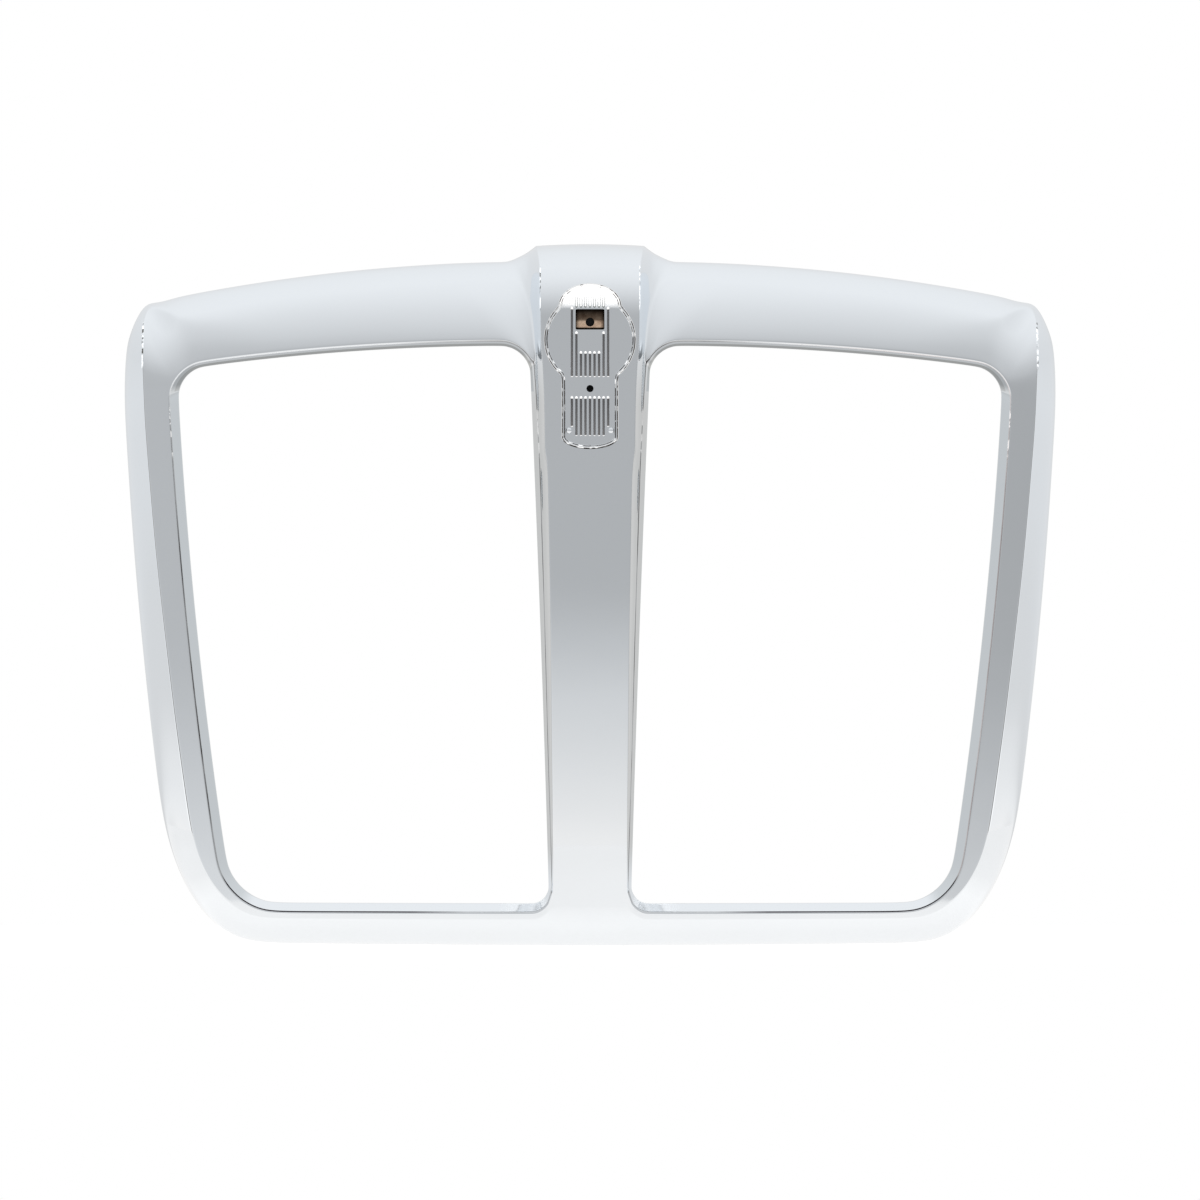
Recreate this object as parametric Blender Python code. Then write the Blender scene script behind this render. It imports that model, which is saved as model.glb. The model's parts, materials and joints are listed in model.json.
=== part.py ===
"""A chrome-plated grille surround for a truck hood, with its badge seat, brackets, screws and seals.

Metres, +Z up. The front faces -Y. X = 0 is the plane of symmetry, Z = 0 is the lowest edge, and Y = 0 is halfway
between the front of the badge seat and the rear pads of the brackets.
A point of the moulding is worked out as (u, d, z): u is the distance from the plane of symmetry, and d is the depth
behind the front of the post.
"""

import math

import bmesh
import bpy
import numpy as np
from mathutils import Matrix, Vector

# --- Driving dimensions ---------------------------------------------------------------------------------------
DEPTH = 0.156  # front of the post to the rear pads of the brackets
SEAT_PROUD = 0.0008  # the badge seat's rim stands this far in front of the post
FRONT_Y = -(DEPTH - SEAT_PROUD) / 2
SKIN = 0.003  # wall of the moulding
GAP = 0.0003  # clearance between touching pieces
BACK = 0.144  # depth of the flange's rear plane
FLANGE = 0.022
DRAFT = 0.003  # the outer wall draws in by this much towards the rear

BOW, BOW_AT = 0.048, 0.5  # how far the front lies back, and how far out that is measured
PROUD = 0.017  # the post and the crown stand this far in front of the frame
LEAN, LEAN_FROM = 0.006, 0.30  # the frame leans back below this height

WINDOW_TOP, WINDOW_TOP_FROM, WINDOW_TOP_FALL = 0.6763, 0.090, 0.1876
WINDOW_FOOT = 0.0496
WINDOW_SIDE, WINDOW_SIDE_Z, WINDOW_SIDE_TAPER, WINDOW_SIDE_CURVE = 0.4613, 0.5705, 0.066, 0.0889
WINDOW_POST = ((0.0688, 0.0465), (0.6425, 0.0669))  # height and u at the two ends of the post
WINDOW_POST_HOLLOW = 0.0045
TOP_INNER = (0.1007, 0.6425, 0.0338)  # centre and radius of the corner: u, z, radius
FOOT_INNER = (0.0656, 0.0688, 0.0192)
TOP_OUTER = (0.4661, 0.6497, 0.0315)  # where the edges would meet, and the length that the corner cuts off
FOOT_OUTER = (0.4028, 0.0496, 0.0500)

LIP_TOP, LIP_SIDE, LIP_FOOT, LIP_POST = 0.0050, 0.0107, 0.0101, 0.0045  # width of the lip in front view
LIP_DEPTH, LIP_DEPTH_TOP, LIP_DEPTH_POST = 0.014, 0.018, 0.010
RETURN = 0.014  # straight wall behind the lip

OUTER_TOP, OUTER_TOP_FROM, OUTER_TOP_SLOPE, OUTER_TOP_CURVE = 0.7724, 0.1243, 0.030, 0.2407
OUTER_TOP_TO = 0.4650  # u where the top outline turns into the corner
CORNER = (0.5034, 0.7261)  # the outline's upper corner
HALF_WIDTH, WIDEST_Z = 0.5288, 0.6448
SHOULDER, SHOULDER_HEIGHT = 0.0249, 0.0825
SIDE_TAPER, SIDE_CURVE = 0.045, 0.0885
SHOULDER_END, SIDE_END = 0.6750, 0.1645
FOOT_CORNER = ((0.4870, 0.1645), (0.4757, 0.0798), (0.4351, 0.0029), (0.3729, 0.0020))

CROWN_TOP, CROWN_BEND, CROWN_DEPTH = 0.7936, 0.7198, 0.092
CROWN_HALF, FLARE = 0.0612, 0.0904  # u of the crown's edge and of its flare at the top outline
FACE_EDGE = (  # height and u of the edge of the post's face
    (0.05, 0.0415), (0.10, 0.0415), (0.23, 0.0431), (0.33, 0.0437), (0.44, 0.0456), (0.53, 0.0472),
    (0.542, 0.0478), (0.558, 0.0506), (0.62, 0.0514), (0.65, 0.0530), (0.69, 0.0556), (0.72, 0.0556),
)
FRAME_EDGE = (  # height and u of the line where the post's flank meets the frame
    (0.05, 0.0472), (0.0688, 0.0425), (0.10, 0.0430), (0.23, 0.0471), (0.33, 0.0494), (0.46, 0.0533),
    (0.54, 0.0557), (0.58, 0.0579), (0.62, 0.0598), (0.65, 0.0622), (0.69, 0.0625),
)
ARRIS = 0.0012  # least width kept between the face's edge and the frame
POST_TOP, POST_FOOT = 0.6571, 0.0500  # heights where the post runs into the top and bottom rails

ROLL, ROLL_LESS = 0.080, 0.022  # depth of the top rail's roll, and how much less it is at BOW_AT
ROLL_FROM = math.radians(8)
BAND_DEPTH = 0.045  # depth of the outer band beside a window
BAND_FROM = math.radians(35)
CREASE_ON_SIDE = (0.57, 0.53, 0.51, 0.50, 0.475, 0.45, 0.44, 0.42, 0.41)  # share of the width, down the side
CREASE_ON_FOOT = 0.20

SEAT_Z, SEAT_R = 0.6824, 0.0515
SEAT_TAIL, SEAT_TAIL_Z, SEAT_FOOT = 0.0317, 0.5731, 0.5596
SEAT_DOME = (0.0352, 0.0252)
SEAT_BEND = 0.7203
SEAT_RIM, SEAT_FLOOR, SEAT_PLATE = 0.0036, 0.0035, 0.003
SEAT_RAMP = math.tan(math.radians(30))
SEAT_WINDOW = (0.0162, 0.6935, 0.7164)
SEAT_HOLE = (0.6274, 0.0040)
BAR_PITCH, BAR_WIDTH, BAR_HEIGHT = 0.00507, 0.0030, 0.0014
SEAT_SCREWS, SEAT_SCREW_HEAD = (0.0238, 0.5803), 0.0034
STRAP_SCREWS = (0.0270, 0.7050)
STRAP, STRAP_GAUGE, STRAP_HOLE = 0.0163, 0.0020, (0.7022, 0.0050)
STRAP_HALF, STRAP_FOOT, STRAP_HEAD = 0.0340, 0.6895, 0.7215
SMALL_SHANK, SMALL_BORE, SMALL_BOSS = 0.0015, 0.0018, 0.0040

BRACE_WEB, BRACE_GAUGE, BRACE_HALF, BRACE_FLANGE = 0.0240, 0.0020, 0.030, 0.018
BRACE_FOOT, BRACE_HEAD = 0.13, 0.714
BRACE_SCREWS = (0.16, 0.29, 0.42, 0.52)
BOSS_R, PILOT_R, SHANK_R = 0.0050, 0.0024, 0.0021

PLATE = 0.0025  # gauge of the mounting brackets
BOLT_HOLE, BOLT_IN = 0.0045, 0.0130  # hole in a bracket's pad, and how far in from the bracket's outer edge
NUT_R, NUT_HIGH, NUT_BORE = 0.0075, 0.0065, 0.0042
BRACKET_IN = 0.0115  # bracket's outer edge, in from the outline
BRACKET_WIDE = 0.026
PAD, EAR, JOGGLE = 0.044, 0.019, 0.0100
SEAL_IN, SEAL_WIDE, SEAL_THICK = 0.0035, 0.0070, 0.0060

# --- Where the sections of the moulding are taken ---------------------------------------------------------------
SHARES = (0.0, 0.45, 0.85, 1.0)  # shares of the post's half width
TURNS, FOOT_TURN = (55, 40, 20), 30  # degrees round the corners beside the post
TOP_STEPS, SIDE_STEPS, CORNER_STEPS, FOOT_STEPS = 7, 8, 4, 6
POST_HEIGHTS = (
    0.6425, 0.6100, 0.5750, 0.5600, 0.5450, 0.5300, 0.4800, 0.4100, 0.3400, 0.2700, 0.2000, 0.1400, 0.0950, 0.0688,
)


def mix(a, b, t):
    return a + (b - a) * t


def along(points, z):
    heights, widths = zip(*points)
    return float(np.interp(z, heights, widths))


def bezier(a, b, c, d, t):
    s = 1 - t
    return tuple(s**3 * p + 3 * s * s * t * q + 3 * s * t * t * r + t**3 * w for p, q, r, w in zip(a, b, c, d))


def world(u, d, z):
    return (u, FRONT_Y + d, z)


# --- Depth of the front ----------------------------------------------------------------------------------------
def frame_depth(u, z):
    lean = LEAN * max(0.0, (LEAN_FROM - z) / LEAN_FROM) ** 2
    return PROUD + BOW * (u / BOW_AT) ** 2 + lean


def face_depth(z):
    """Depth of the post's face: upright above, and sinking back to the frame at the foot."""
    sink = min(1.0, max(0.0, (0.40 - z) / (0.40 - POST_FOOT)))
    return sink**2 * frame_depth(0.0, z)


def crown_depth(z):
    rise = min(1.0, max(0.0, (z - CROWN_BEND) / (CROWN_TOP - CROWN_BEND)))
    return CROWN_DEPTH * (1 - math.sqrt(1 - rise**2))


# --- Outlines in front view ------------------------------------------------------------------------------------
def window_top(u, out=0.0):
    return WINDOW_TOP + out - WINDOW_TOP_FALL * (u - WINDOW_TOP_FROM) ** 2


def window_side(z, out=0.0):
    t = WINDOW_SIDE_Z - z
    return WINDOW_SIDE + out - WINDOW_SIDE_TAPER * t - WINDOW_SIDE_CURVE * t * t


def window_post(z):
    (low, foot), (high, head) = WINDOW_POST
    s = (z - low) / (high - low)
    return mix(foot, head, s) - WINDOW_POST_HOLLOW * s * (1 - s)


def outer_top(u):
    t = u - OUTER_TOP_FROM
    return OUTER_TOP - OUTER_TOP_SLOPE * t - OUTER_TOP_CURVE * t * t


def outer_side(z):
    t = WIDEST_Z - z
    if t < 0:
        return HALF_WIDTH - SHOULDER * (t / SHOULDER_HEIGHT) ** 2
    return HALF_WIDTH - SIDE_TAPER * t - SIDE_CURVE * t * t


def outer_foot(u):
    return FOOT_CORNER[3][1] * (u / FOOT_CORNER[3][0]) ** 2


def cut_corner(corner, start, end, t):
    """A round corner between two edges, with its handles on the point where the edges would meet."""
    first = tuple(mix(s, c, 0.55) for s, c in zip(start, corner))
    second = tuple(mix(e, c, 0.55) for e, c in zip(end, corner))
    return bezier(start, first, second, end, t)


def opening(part, t, lip):
    """A point on the window's edge (lip 0) or on the crease in front of its lip (lip 1)."""
    top, side, foot = LIP_TOP * lip, LIP_SIDE * lip, LIP_FOOT * lip
    u1, z1, r1 = TOP_OUTER
    u2, z2, r2 = FOOT_OUTER
    u1, z1, r1 = u1 + side, z1 + top, r1 + side
    u2, z2, r2 = u2 + side, z2 - foot, r2 + side
    top_end = (u1 - r1, window_top(u1 - r1, top))
    side_start = (window_side(z1 - r1, side), z1 - r1)
    side_end = (window_side(z2 + r2, side), z2 + r2)
    foot_start = (u2 - r2, z2)
    if part == "top":
        u = mix(TOP_INNER[0], top_end[0], t)
        return u, window_top(u, top)
    if part == "top_corner":
        return cut_corner((u1, z1), top_end, side_start, t)
    if part == "side":
        z = mix(side_start[1], side_end[1], t)
        return window_side(z, side), z
    if part == "foot_corner":
        return cut_corner((u2, z2), side_end, foot_start, t)
    return mix(foot_start[0], FOOT_INNER[0], t), z2


def outline(part, t):
    """The point of the outer outline that goes with a point of the window's edge."""
    if part == "top":
        u = mix(0.170, OUTER_TOP_TO, t)
        return u, outer_top(u)
    if part == "top_corner" and t <= 0.5:
        u = mix(OUTER_TOP_TO, CORNER[0], t * 2)
        return u, mix(outer_top(u), CORNER[1], t * 2)
    if part == "top_corner":
        z = mix(CORNER[1], SHOULDER_END, t * 2 - 1)
        return outer_side(z), z
    if part == "side":
        z = mix(SHOULDER_END, SIDE_END, t)
        return outer_side(z), z
    if part == "foot_corner":
        return bezier(*FOOT_CORNER, t)
    u = mix(FOOT_CORNER[3][0], FOOT_INNER[0], t)
    return u, outer_foot(u)


def inner_corner(which, degrees, lip):
    """A point on the round corner beside the post. Degrees run from level to beside the post."""
    turn = math.radians(degrees)
    if which == "top":
        u, z, radius = TOP_INNER
        radius += LIP_TOP * lip
        return u - radius * math.sin(turn), z + radius * math.cos(turn)
    u, z, radius = FOOT_INNER
    wide, tall = radius + LIP_POST * lip, radius + LIP_FOOT * lip
    return u - wide * math.sin(turn), z - tall * math.cos(turn)


# --- Sections across the frame ---------------------------------------------------------------------------------
def roll_rows(start, shares):
    """Share of the width and of the depth at angles that run from start to square with the rear."""
    rows = []
    for share in shares:
        angle = mix(start, math.pi / 2, share)
        width = (math.sin(angle) - math.sin(start)) / (1 - math.sin(start))
        rows.append((width, 1 - math.cos(angle) / math.cos(start)))
    return rows


def top_roll(u, z):
    """Share of the roll's depth at a point of the corner, where the top rail's roll runs on past the window."""
    out = min(1.0, max(0.0, (u - OUTER_TOP_TO) / (CORNER[0] - OUTER_TOP_TO)))
    low, high = window_top(u, LIP_TOP), mix(outer_top(u), CORNER[1], out)
    share = min(1.0, max(0.0, (z - low) / (high - low)))
    return 1 - math.sqrt(1 - share**2)


def into_corner(t):
    """How far the top rail has turned into the side, from 0 before the corner to 1 halfway round it at t = 0.5."""
    share = min(1.0, max(0.0, (t + 0.3) / 0.8))
    return share * share * (3 - 2 * share)


def section(inner, outer, beside, crease, plain=0.0):
    """Six points from the lip's crease to the outline. beside is 0 on the top rail and 1 beside a window.

    The top rail is one roll. Beside a window a flat band runs out to a crease, and a rounder band turns to the rear.
    Under the post plain is 1, and the bottom rail is one roll too.
    """
    top = roll_rows(ROLL_FROM, (0, 0.2, 0.4, 0.6, 0.8, 1))
    side = [(0.0, 0.0), (crease / 2, 0.0), (crease, 0.0)]
    side += [(mix(crease, 1.0, w), d) for w, d in roll_rows(BAND_FROM, (0.36, 0.7, 1))]
    side = [(mix(a[0], b[0], plain), mix(a[1], b[1], plain)) for a, b in zip(side, top)]
    roll = ROLL - ROLL_LESS * (inner[0] / BOW_AT) ** 2
    points = []
    for (w_top, d_top), (w_side, d_side) in zip(top, side):
        width = mix(w_top, w_side, beside)
        u, z = mix(inner[0], outer[0], width), mix(inner[1], outer[1], width)
        flat = mix(frame_depth(*inner), frame_depth(u, z), beside)
        rolled = top_roll(u, z)
        points.append((u, flat + mix(roll * d_top, mix(BAND_DEPTH * d_side, roll, rolled), beside), z))
    return points


def crown_section(share):
    """The crown at a share of its half width: upright, then rolled back to the top."""
    points = [(along(FACE_EDGE, z) * share, 0.0, z) for z in (POST_TOP, mix(POST_TOP, CROWN_BEND, 0.5), CROWN_BEND)]
    for degrees in (30, 60, 90):
        rise = math.sin(math.radians(degrees))
        half = mix(along(FACE_EDGE, CROWN_BEND), CROWN_HALF, rise**4)
        z = mix(CROWN_BEND, CROWN_TOP - 0.002 * share**2, rise)
        points.append((half * share, CROWN_DEPTH * (1 - math.cos(math.radians(degrees))), z))
    return points


def flare_section():
    """The line where the crown's flank meets the top rail."""
    start, top = along(FRAME_EDGE, POST_TOP), outer_top(FLARE) + 0.001
    points = []
    for width, depth in roll_rows(ROLL_FROM, (0, 0.2, 0.4, 0.6, 0.8, 1)):
        u = mix(start, FLARE, width**2.4)
        points.append((u, PROUD + ROLL * depth, mix(POST_TOP, top, width)))
    return points


def flank(edge, frame):
    """The flank between the face's edge and the frame beside it, hollowed towards the frame."""
    return [(mix(a[0], b[0], 0.38), mix(a[1], b[1], 0.64), mix(a[2], b[2], 0.5)) for a, b in zip(edge, frame)]


def frame_sections():
    """Sections round the right half of the frame, clockwise from the crown's middle to the foot's middle."""
    found = [crown_section(share) for share in SHARES]
    found.append(flank(found[-1], flare_section()))
    found.append(flare_section())
    for degrees, u in zip(TURNS, (0.109, 0.128, 0.148)):
        found.append(section(inner_corner("top", degrees, 1), (u, outer_top(u)), 0.0, 0.5))
    for i in range(TOP_STEPS + 1):
        t = i / TOP_STEPS
        found.append(section(opening("top", t, 1), outline("top", t), into_corner(t - 1), 0.97))
    for t, crease in ((0.25, 0.97), (0.5, 0.96), (0.75, 0.71), (1.0, CREASE_ON_SIDE[0])):
        found.append(section(opening("top_corner", t, 1), outline("top_corner", t), into_corner(t), crease))
    for i in range(1, SIDE_STEPS + 1):
        t = i / SIDE_STEPS
        found.append(section(opening("side", t, 1), outline("side", t), 1.0, CREASE_ON_SIDE[i]))
    for i in range(1, CORNER_STEPS + 1):
        t = i / CORNER_STEPS
        crease = mix(CREASE_ON_SIDE[-1], CREASE_ON_FOOT, t)
        found.append(section(opening("foot_corner", t, 1), outline("foot_corner", t), 1.0, crease))
    for i in range(1, FOOT_STEPS + 1):
        t = i / FOOT_STEPS
        found.append(section(opening("foot", t, 1), outline("foot", t), 1.0, CREASE_ON_FOOT))
    corner = inner_corner("foot", FOOT_TURN, 1)
    found.append(section(corner, (corner[0], outer_foot(corner[0])), 1.0, CREASE_ON_FOOT))
    frame, face = along(FRAME_EDGE, POST_FOOT), along(FACE_EDGE, POST_FOOT)
    for u in (frame, mix(face, frame, 0.5), *(face * share for share in reversed(SHARES))):
        plain = min(1.0, max(0.0, (frame - u) / (frame - face)))
        found.append(section((u, POST_FOOT), (u, outer_foot(u)), 1.0, CREASE_ON_FOOT, plain))
    return found


def with_wall(sections):
    """Adds the outer wall's rear edge and the flange's inner edge to each section."""
    rims = [(s[-1][0], s[-1][2]) for s in sections]
    rims = [(-rims[1][0], rims[1][1]), *rims, (-rims[-2][0], rims[-2][1])]
    walled = []
    for before, rim, after, points in zip(rims, rims[1:], rims[2:], sections):
        along_rim = Vector((after[0] - before[0], after[1] - before[1])).normalized()
        inward = Vector((along_rim.y, -along_rim.x))
        rear = Vector(rim) + inward * DRAFT
        edge = Vector(rim) + inward * (DRAFT + FLANGE)
        walled.append([*points, (rear.x, BACK, rear.y), (edge.x, BACK, edge.y)])
    return walled


def post_rows():
    """Rows of the post from the crown to the foot, each from the middle out to where it meets the frame."""
    rows = [[s[0] for s in frame_sections()[:6]]]
    low = inner_corner("foot", 68, 1)[1]
    for z in (*POST_HEIGHTS, low):
        edge, frame = along(FACE_EDGE, z), max(along(FRAME_EDGE, z), along(FACE_EDGE, z) + ARRIS)
        face, base = (edge, face_depth(z), z), (frame, frame_depth(frame, z), z)
        base = (base[0], max(base[1], face[1] + ARRIS), z)
        row = [(edge * share, face[1], z) for share in SHARES]
        rows.append([*row, flank([face], [base])[0], base])
    rows.append([s[0] for s in reversed(frame_sections()[-6:])])
    return rows


def lip_loop():
    """Stations round the right window, each with the crease, the opening's edge and the rear of its return wall."""
    rows = post_rows()
    creases = [row[-1] for row in rows]
    edges = [inner_corner("top", 67, 0)]
    edges += [(window_post(z), z) for z in POST_HEIGHTS]
    edges += [inner_corner("foot", 68, 0), inner_corner("foot", 50, 0), inner_corner("foot", 25, 0)]
    steps = [("foot", FOOT_STEPS), ("foot_corner", CORNER_STEPS), ("side", SIDE_STEPS)]
    steps += [("top_corner", CORNER_STEPS), ("top", TOP_STEPS)]
    for part, count in steps:
        for i in range(count):
            edges.append(opening(part, 1 - i / count, 0))
    edges.append(opening("top", 0.0, 0))
    edges += [inner_corner("top", degrees, 0) for degrees in reversed(TURNS)]
    sections = frame_sections()
    creases += [s[0] for s in reversed(sections[6:-6])]
    loop = []
    for crease, edge in zip(creases, edges, strict=True):
        level = min(1.0, max(0.0, (edge[1] - 0.60) / 0.06))
        post = min(1.0, max(0.0, (0.075 - edge[0]) / 0.015))
        drop = mix(mix(LIP_DEPTH, LIP_DEPTH_TOP, level), LIP_DEPTH_POST, post)
        depth = crease[1] + drop
        loop.append([crease, (edge[0], depth, edge[1]), (edge[0], depth + RETURN, edge[1])])
    return loop


# --- Building meshes -------------------------------------------------------------------------------------------
class Net:
    """Quads that share their corners wherever two patches meet."""

    def __init__(self):
        self.points, self.faces, self.found = [], [], {}

    def corner(self, u, d, z):
        key = (round(u, 6), round(d, 6), round(z, 6))
        if key not in self.found:
            self.found[key] = len(self.points)
            self.points.append(world(u, d, z))
        return self.found[key]

    def patch(self, rows):
        """Faces between successive rows of points, once on each side of the plane of symmetry."""
        for side in (1, -1):
            for row, following in zip(rows, rows[1:]):
                for a, b, c, d in zip(row, following, following[1:], row[1:]):
                    face = list(dict.fromkeys(self.corner(side * p[0], p[1], p[2]) for p in (a, b, c, d)))
                    if len(face) > 2:
                        self.faces.append(face if side == 1 else face[::-1])


def add_object(name, mesh, material, location=(0, 0, 0), smooth=35):
    mesh.shade_smooth()
    mesh.set_sharp_from_angle(angle=math.radians(smooth))
    mesh.materials.append(material)
    ob = bpy.data.objects.new(name, mesh)
    bpy.context.scene.collection.objects.link(ob)
    ob.location = location
    return ob


def mesh_from(name, points, faces):
    """A mesh with its faces turned outwards and its repeated corners joined."""
    bm = bmesh.new()
    corners = [bm.verts.new(p) for p in points]
    for face in faces:
        bm.faces.new([corners[i] for i in face])
    bmesh.ops.remove_doubles(bm, verts=bm.verts, dist=1e-6)
    bmesh.ops.dissolve_degenerate(bm, edges=bm.edges, dist=1e-6)
    bmesh.ops.recalc_face_normals(bm, faces=bm.faces)
    mesh = bpy.data.meshes.new(name)
    bm.to_mesh(mesh)
    bm.free()
    return mesh


def ring_faces(count, rings):
    """Quads between successive rings of the same number of points."""
    faces = []
    for ring in range(rings - 1):
        for i in range(count):
            j = (i + 1) % count
            faces.append((ring * count + i, ring * count + j, (ring + 1) * count + j, (ring + 1) * count + i))
    return faces


def lathe(name, profile, sides=12):
    """A solid turned about Y from (radius, y) points. A profile that starts off the axis is closed into a ring."""
    solid = profile[0][0] == 0
    rings = profile[1:-1] if solid else [*profile, profile[0]]
    turns = [2 * math.pi * (i + 0.25) / sides for i in range(sides)]
    points = [(radius * math.cos(t), y, radius * math.sin(t)) for radius, y in rings for t in turns]
    faces = ring_faces(sides, len(rings))
    if solid:
        faces += [tuple(range(sides)), tuple(range(len(points) - sides, len(points)))]
    return mesh_from(name, points, faces)


def washer(name, outer, inner, front, rear, sides=12):
    return lathe(name, [(inner, front), (outer, front), (outer, rear), (inner, rear)], sides)


def block(name, low, high):
    """A box between two corners, each given as x, depth, z."""
    x0, y0, z0 = world(*low)
    x1, y1, z1 = world(*high)
    points = [(x, y, z) for x in (x0, x1) for y in (y0, y1) for z in (z0, z1)]
    faces = [(0, 1, 3, 2), (4, 6, 7, 5), (0, 4, 5, 1), (2, 3, 7, 6), (0, 2, 6, 4), (1, 5, 7, 3)]
    return mesh_from(name, points, faces)


def slab(name, loop, x0, x1):
    """A loop of (depth, z) points drawn out along X."""
    count = len(loop)
    points = [world(x, d, z) for x in (x0, x1) for d, z in loop]
    faces = [tuple(range(count)), tuple(range(count, 2 * count)), *ring_faces(count, 2)]
    return mesh_from(name, points, faces)


def rod(name, radius, x, z, front, rear, sides=12):
    """A cylinder between two depths."""
    mesh = lathe(name, [(0, front), (radius, front), (radius, rear), (0, rear)], sides)
    mesh.transform(Matrix.Translation(world(x, 0, z)))
    return mesh


def combine(ob, meshes, operation):
    """Applies a Boolean of each mesh in turn to an object."""
    for mesh in meshes:
        tool = bpy.data.objects.new("tool", mesh)
        tool.hide_render = True
        tool.display_type = "WIRE"
        bpy.context.scene.collection.objects.link(tool)
        change = ob.modifiers.new(operation, "BOOLEAN")
        change.operation = operation
        change.object = tool
        bpy.context.view_layer.update()
        made = bpy.data.meshes.new_from_object(ob.evaluated_get(bpy.context.evaluated_depsgraph_get()))
        ob.modifiers.clear()
        ob.data = made
        bpy.data.objects.remove(tool)


def surface(name, colour, metallic, roughness):
    made = bpy.data.materials.new(name)
    made.use_nodes = True
    shader = made.node_tree.nodes["Principled BSDF"]
    shader.inputs["Base Color"].default_value = (*colour, 1)
    shader.inputs["Metallic"].default_value = metallic
    shader.inputs["Roughness"].default_value = roughness
    return made


# --- The moulding ----------------------------------------------------------------------------------------------
def seat_outline(out=0.0):
    """Right half of the seat's outline from its top to its foot, as (u, z): a dome, a disc and a tail."""
    dome_u, dome_z = SEAT_DOME[0] + out, SEAT_DOME[1] + out
    points = []
    for i in range(7):
        turn = math.radians(90 * i / 7)
        points.append((dome_u * math.sin(turn), SEAT_BEND + dome_z * math.cos(turn)))
    radius = SEAT_R + out
    start = math.acos((SEAT_BEND - SEAT_Z) / radius)
    tail = SEAT_TAIL + out
    end = math.pi - math.asin(tail / radius)
    points.append((radius * math.sin(start) + 0.0010, SEAT_BEND))
    for i in range(1, 10):
        turn = mix(start, end, i / 9)
        points.append((radius * math.sin(turn), SEAT_Z + radius * math.cos(turn)))
    points.append((tail, mix(points[-1][1], SEAT_TAIL_Z, 0.5)))
    drop = SEAT_TAIL_Z - SEAT_FOOT + out
    for i in range(6):
        turn = math.radians(90 * i / 5)
        points.append((tail * math.cos(turn), SEAT_TAIL_Z - drop * math.sin(turn)))
    points[0], points[-1] = (0.0, points[0][1]), (0.0, points[-1][1])
    return points


def whole(half):
    """Both halves of an outline, as a closed loop of (x, z)."""
    return half + [(-u, z) for u, z in reversed(half[1:-1])]


def prism(name, loop, front, rear):
    """A loop of (x, z) points drawn out between two depths."""
    count = len(loop)
    points = [world(x, d, z) for d in (front, rear) for x, z in loop]
    faces = [tuple(range(count)), tuple(range(count, 2 * count)), *ring_faces(count, 2)]
    return mesh_from(name, points, faces)


def bracket_places():
    """Middle of each bracket's outer edge on the rear flange, with the outward direction, as (name, u, z, out)."""
    places = [("crown", 0.0, CROWN_TOP, (0.0, 1.0))]
    walled = with_wall(frame_sections())
    for name, index in (("top", 13), ("side", 24), ("foot", 34)):
        rim, edge = walled[index][-2], walled[index][-1]
        out = Vector((rim[0] - edge[0], rim[2] - edge[2])).normalized()
        outer = walled[index][5]
        for side, x in (("left", -1), ("right", 1)):
            places.append((f"{name}_{side}", x * outer[0], outer[2], (x * out.x, out.y)))
    return places


def bracket_frame(place):
    """Turns a bracket's own axes into the model's: X along the flange, Z outwards, origin on its outer edge."""
    _, x, z, out = place
    turn = math.atan2(out[0], out[1])
    centre = Vector(world(x - out[0] * (DRAFT + BRACKET_IN), 0, z - out[1] * (DRAFT + BRACKET_IN)))
    return Matrix.Translation(centre) @ Matrix.Rotation(turn, 4, "Y")


def ear_points(place):
    frame = bracket_frame(place)
    reach = PAD / 2 + JOGGLE + EAR / 2
    return [frame @ Vector((side * reach, 0, -0.0055)) for side in (-1, 1)]


def make_shell(chrome):
    net = Net()
    net.patch(with_wall(frame_sections()))
    rows = post_rows()
    net.patch(rows)
    loop = lip_loop()
    net.patch([*loop, loop[0]])
    ob = add_object("front_shell", mesh_from("front_shell", net.points, net.faces), chrome)
    wall = ob.modifiers.new("wall", "SOLIDIFY")
    wall.thickness = SKIN
    wall.offset = -1
    wall.use_even_offset = True
    bpy.context.view_layer.update()
    made = bpy.data.meshes.new_from_object(ob.evaluated_get(bpy.context.evaluated_depsgraph_get()))
    ob.modifiers.clear()
    ob.data = made
    bosses = []
    for z in BRACE_SCREWS:
        bosses.append(rod("boss", BOSS_R, 0.0, z, face_depth(z) + SKIN / 2, BRACE_WEB - GAP, 10))
    combine(ob, bosses, "UNION")
    holes = [prism("seat_cut", whole(seat_outline()), -0.02, 0.05)]
    for z in BRACE_SCREWS:
        holes.append(rod("pilot", PILOT_R, 0.0, z, face_depth(z) + SKIN, BRACE_WEB + 0.01, 8))
    for place in bracket_places():
        for point in ear_points(place):
            holes.append(rod("pilot", PILOT_R, point.x, point.z, BACK - SKIN * 3, BACK + SKIN * 3, 8))
    combine(ob, holes, "DIFFERENCE")
    return ob


def seat_floor(z):
    return SEAT_FLOOR + max(0.0, z - SEAT_BEND) * SEAT_RAMP


def bar(x, foot, head):
    """One raised rib of the seat, which follows the floor over its bend."""
    heights = [foot, head] if head <= SEAT_BEND or foot >= SEAT_BEND else [foot, SEAT_BEND, head]
    front = [(seat_floor(z) - BAR_HEIGHT, z) for z in heights]
    rear = [(seat_floor(z) + SEAT_PLATE / 3, z) for z in reversed(heights)]
    return slab("bar", front + rear, x - BAR_WIDTH / 2, x + BAR_WIDTH / 2)


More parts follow.
